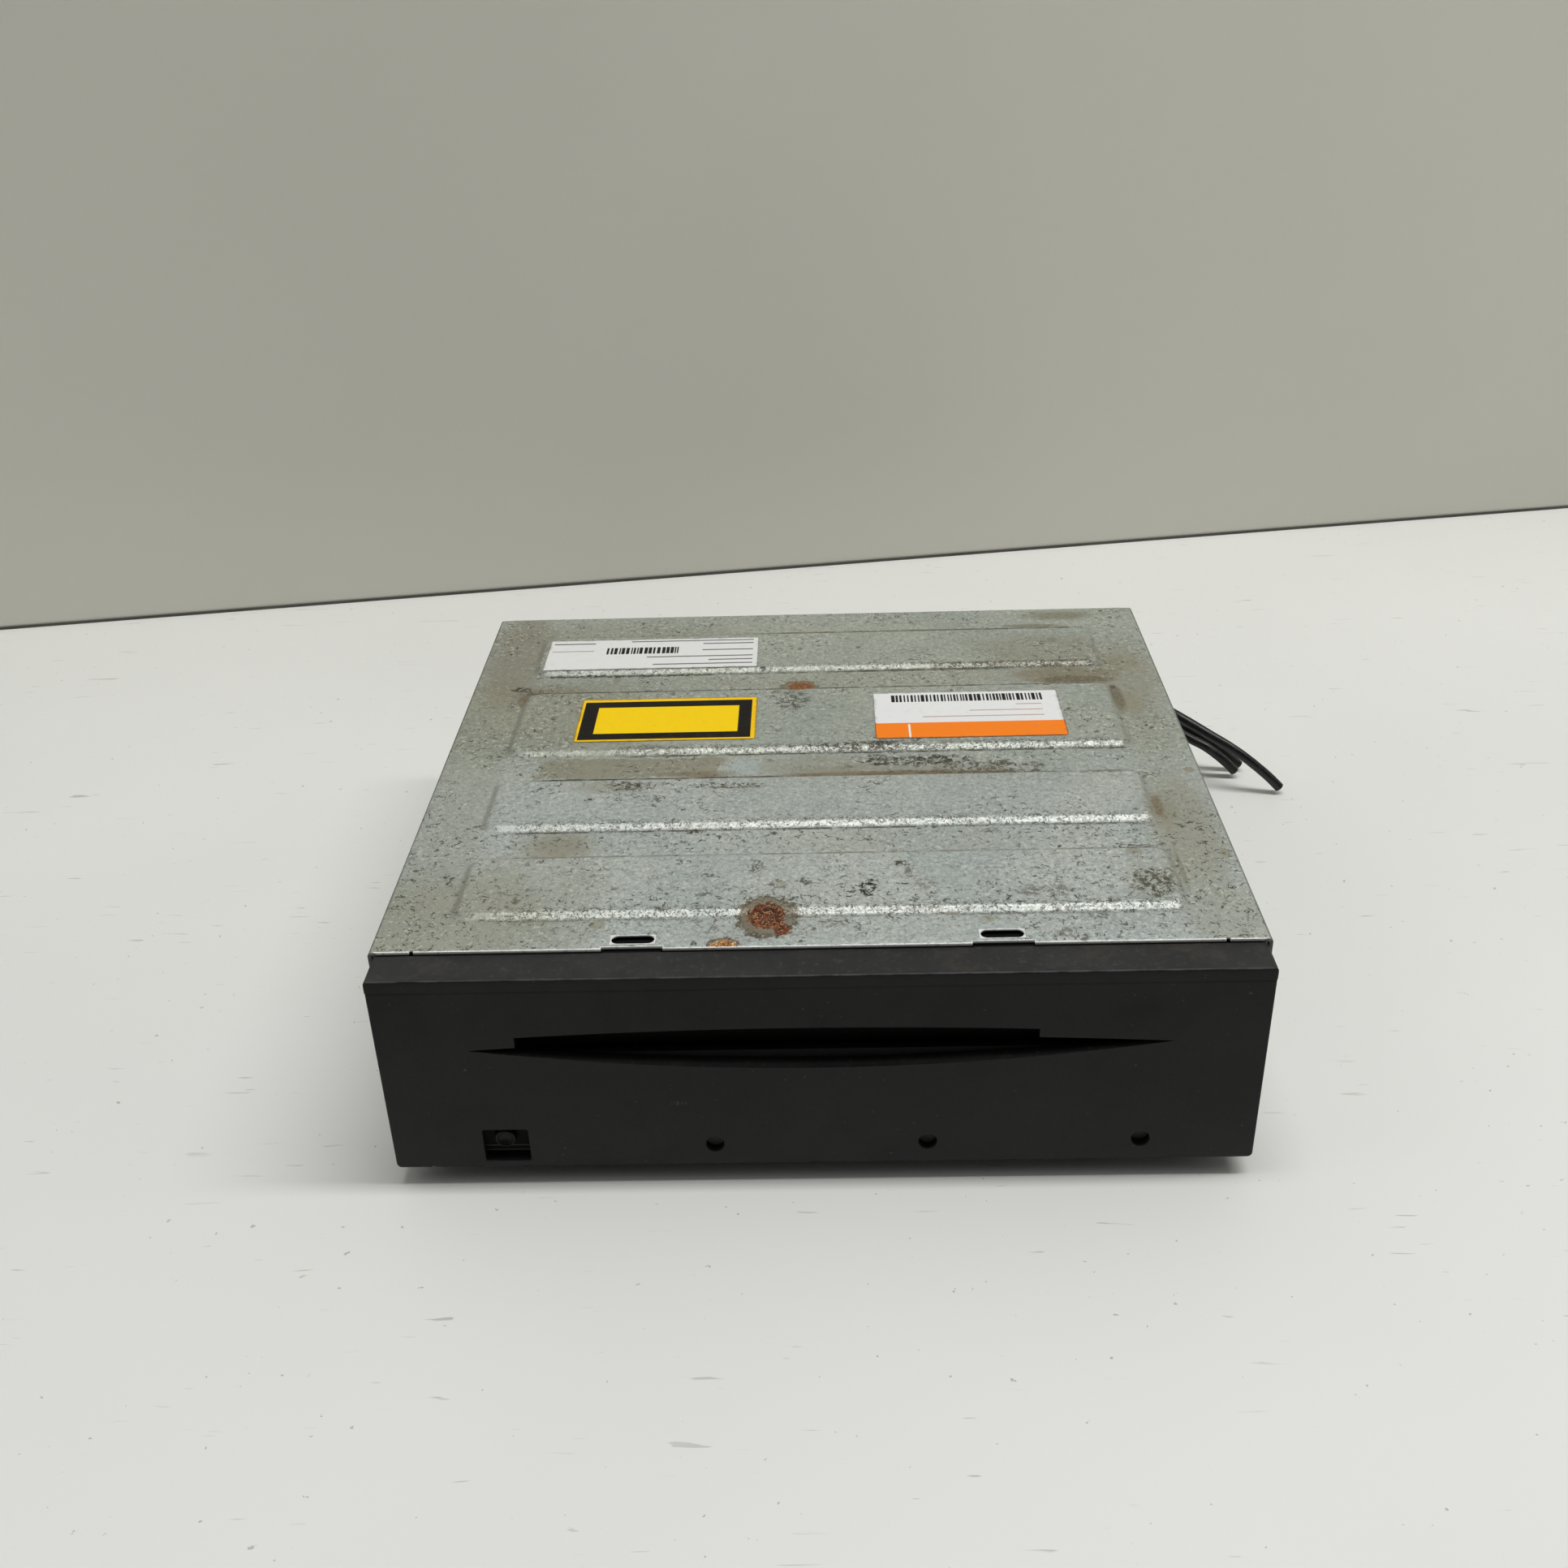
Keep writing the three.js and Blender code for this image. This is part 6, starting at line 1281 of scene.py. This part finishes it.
flap_flock = finish_of("flap_flock", roughness=0.95, specular=0.05)
pile = grain(7.0, 4.0, 0.7)
feed(blended(pile, "060606", "131312"), normal=bumped(pile, 0.12))
shader.inputs["Sheen Weight"].default_value = 0.15


def dressed(material, *names):
    """Gives CAD nodes, whose shapes stay as they are, the finish that they show."""
    for name in names:
        node = nodes[name]
        node.data.materials.clear()
        node.data.materials.append(material)


dressed(flap_flock, "slot_flap")
dressed(turned("pin_steel", "c6c6c2", "8f8f8b", (3.0, 0.3, 0.3)), "flap_pin", "arm_pin", "roller_shaft")
dressed(moulded("switch_grey", "6f7275", "8a8478"), "eject_switch", "cam_slide", "roller_bracket")

# The main board lies on posts over the tray's floor, a green laminate with tinned copper
# tracks under the lacquer. A white header and a flat film lead join it to the pickup.
board_green = finish_of("board_green", roughness=0.32)
across, along, _ = split(place)
put("ShaderNodeTexVoronoi", {"Vector": stretched(place, (1, 1, 0)), "Scale": 0.07}, distance="CHEBYCHEV")
block_tint = put("ShaderNodeSeparateColor", {0: out("Color")})
tracks_across = ramp(calc("SINE", across * 2.6), 0.2, 0.5)
tracks_along = ramp(calc("SINE", along * 2.6), 0.2, 0.5)
turned_block = calc("GREATER_THAN", block_tint, 0.5)
tracks = tracks_across * turned_block + tracks_along * (1.0 - turned_block)
put("ShaderNodeTexVoronoi", {"Vector": stretched(place, (1, 1, 0)), "Scale": 0.32})
pads = ramp(out("Distance"), 0.3, 0.24)
board_colour = blended(tracks * 0.8, "1d4a32", "2f6e47")
feed(
    blended(pads, board_colour, "b9b7a8"), metallic=pads * 0.8, roughness=between(pads, 0.3, 0.42),
    normal=bumped(tracks + pads, 0.05),
)
eased("main_board", "board_laminate", board_green, 0.1)
dressed(moulded("header_white", "dcd8c8", "a39c88", 0.4), "board_connector")

flex_amber = finish_of("flex_amber", roughness=0.3)
across, _, _ = split(place)
wires = ramp(calc("SINE", across * (2 * math.pi)), -0.1, 0.35)
feed(
    blended(wires, "a8732f", "c79a52"), roughness=between(wires, 0.26, 0.36),
    normal=bumped(wires, 0.04),
)
dressed(flex_amber, "flex_cable")

# The deck is pressed steel on four soft dampers. It carries the spindle and the sled, and
# the guide plate over it, of smooth bright sheet, keeps the disc on its path.
deck_steel = sheet_steel("deck_steel", "c2c4c2", "9a9e9d", 0.25)
dressed(deck_steel, "deck_plate", "guide_plate", "gear_side_plate", "clamp_arm")
damper_rubber = moulded("damper_rubber", "191716", "3b3833", 0.8, 0.06, 0.2)
dressed(damper_rubber, *(f"damper_{number}" for number in range(1, 5)))

# The drive: a can motor turns a belt, two gears of white acetal and the rubber roller that
# draws the disc in.
can_steel = turned("can_steel", "bdbbb3", "86857e", (0.25, 2.6, 0.25), 0.3)
dressed(can_steel, "loading_motor", "sled_motor", "spindle_motor")
acetal = moulded("acetal", "e3dfd0", "b7ae96", 0.35, 0.015)
dressed(acetal, "roller_gear", "drive_gear", "pulley_gear", "motor_pulley")
roller_rubber = moulded("roller_rubber", "1f1e1d", "5a5650", 0.85, 0.08, 0.2)
dressed(roller_rubber, "roller_sleeve")
dressed(moulded("belt_rubber", "101010", "2f2d2a", 0.6, 0.03, 0.3), "drive_belt")

# The clamp and the spindle hold the disc by its hub. Both are dark moulded plastic, and the
# turntable has a ring of soft rubber on its face.
dressed(moulded("hub_dark", "27292b", "55534e", 0.42), "clamp_puck")
turntable_dark = finish_of("turntable_dark", roughness=0.4)
middle = [(low + high) / 2 / MM for low, high in zip(*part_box("turntable"))]
from_axis = vector("SUBTRACT", place, (middle[0], middle[1], 0))
from_axis = vector("LENGTH", stretched(from_axis, (1, 1, 0)))
soft_ring = strip(from_axis, 10.2, 13.2, 0.2)
feed(
    blended(soft_ring, "2f3134", "0f0f0f"), roughness=between(soft_ring, 0.36, 0.85),
    normal=bumped(grain(4.0, 3.0), 0.03),
)
dressed(turntable_dark, "turntable")

# The sled slides on two ground rods and is drawn along by the lead screw. It is a dark
# casting, and the lens on it is coated glass.
rod_steel = turned("rod_steel", "d4d4d0", "a9a9a5", (0.4, 1.8, 0.4), 0.16)
dressed(rod_steel, "guide_rod_left", "guide_rod_right")
screw_steel = finish_of("screw_steel", metallic=1.0, roughness=0.22)
_, along, _ = split(place)
# The thread's roots are painted dark and its crests light: painted shade and light on the thread.
thread = calc("ABSOLUTE", calc("SINE", along * (math.pi / 1.2)))
feed(
    blended(thread, "55544f", "c4c3bd"), roughness=between(thread, 0.4, 0.2),
    normal=bumped(thread, 0.25),
)
dressed(screw_steel, "lead_screw")
dressed(moulded("sled_casting", "2b2d30", "5d5a52", 0.5, 0.05), "pickup_sled")

lens_coating = finish_of("lens_coating", roughness=0.04)
sheen_angle = put("ShaderNodeLayerWeight", {"Blend": 0.35})
feed(
    blended(sheen_angle, "1b2350", "5a3f7c"),
    roughness=between(ramp(grain(1.5, 4.0), 0.5, 0.8), 0.03, 0.12),
)
shader.inputs["Coat Weight"].default_value = 0.8
shader.inputs["Coat Roughness"].default_value = 0.03
dressed(lens_coating, "pickup_lens")
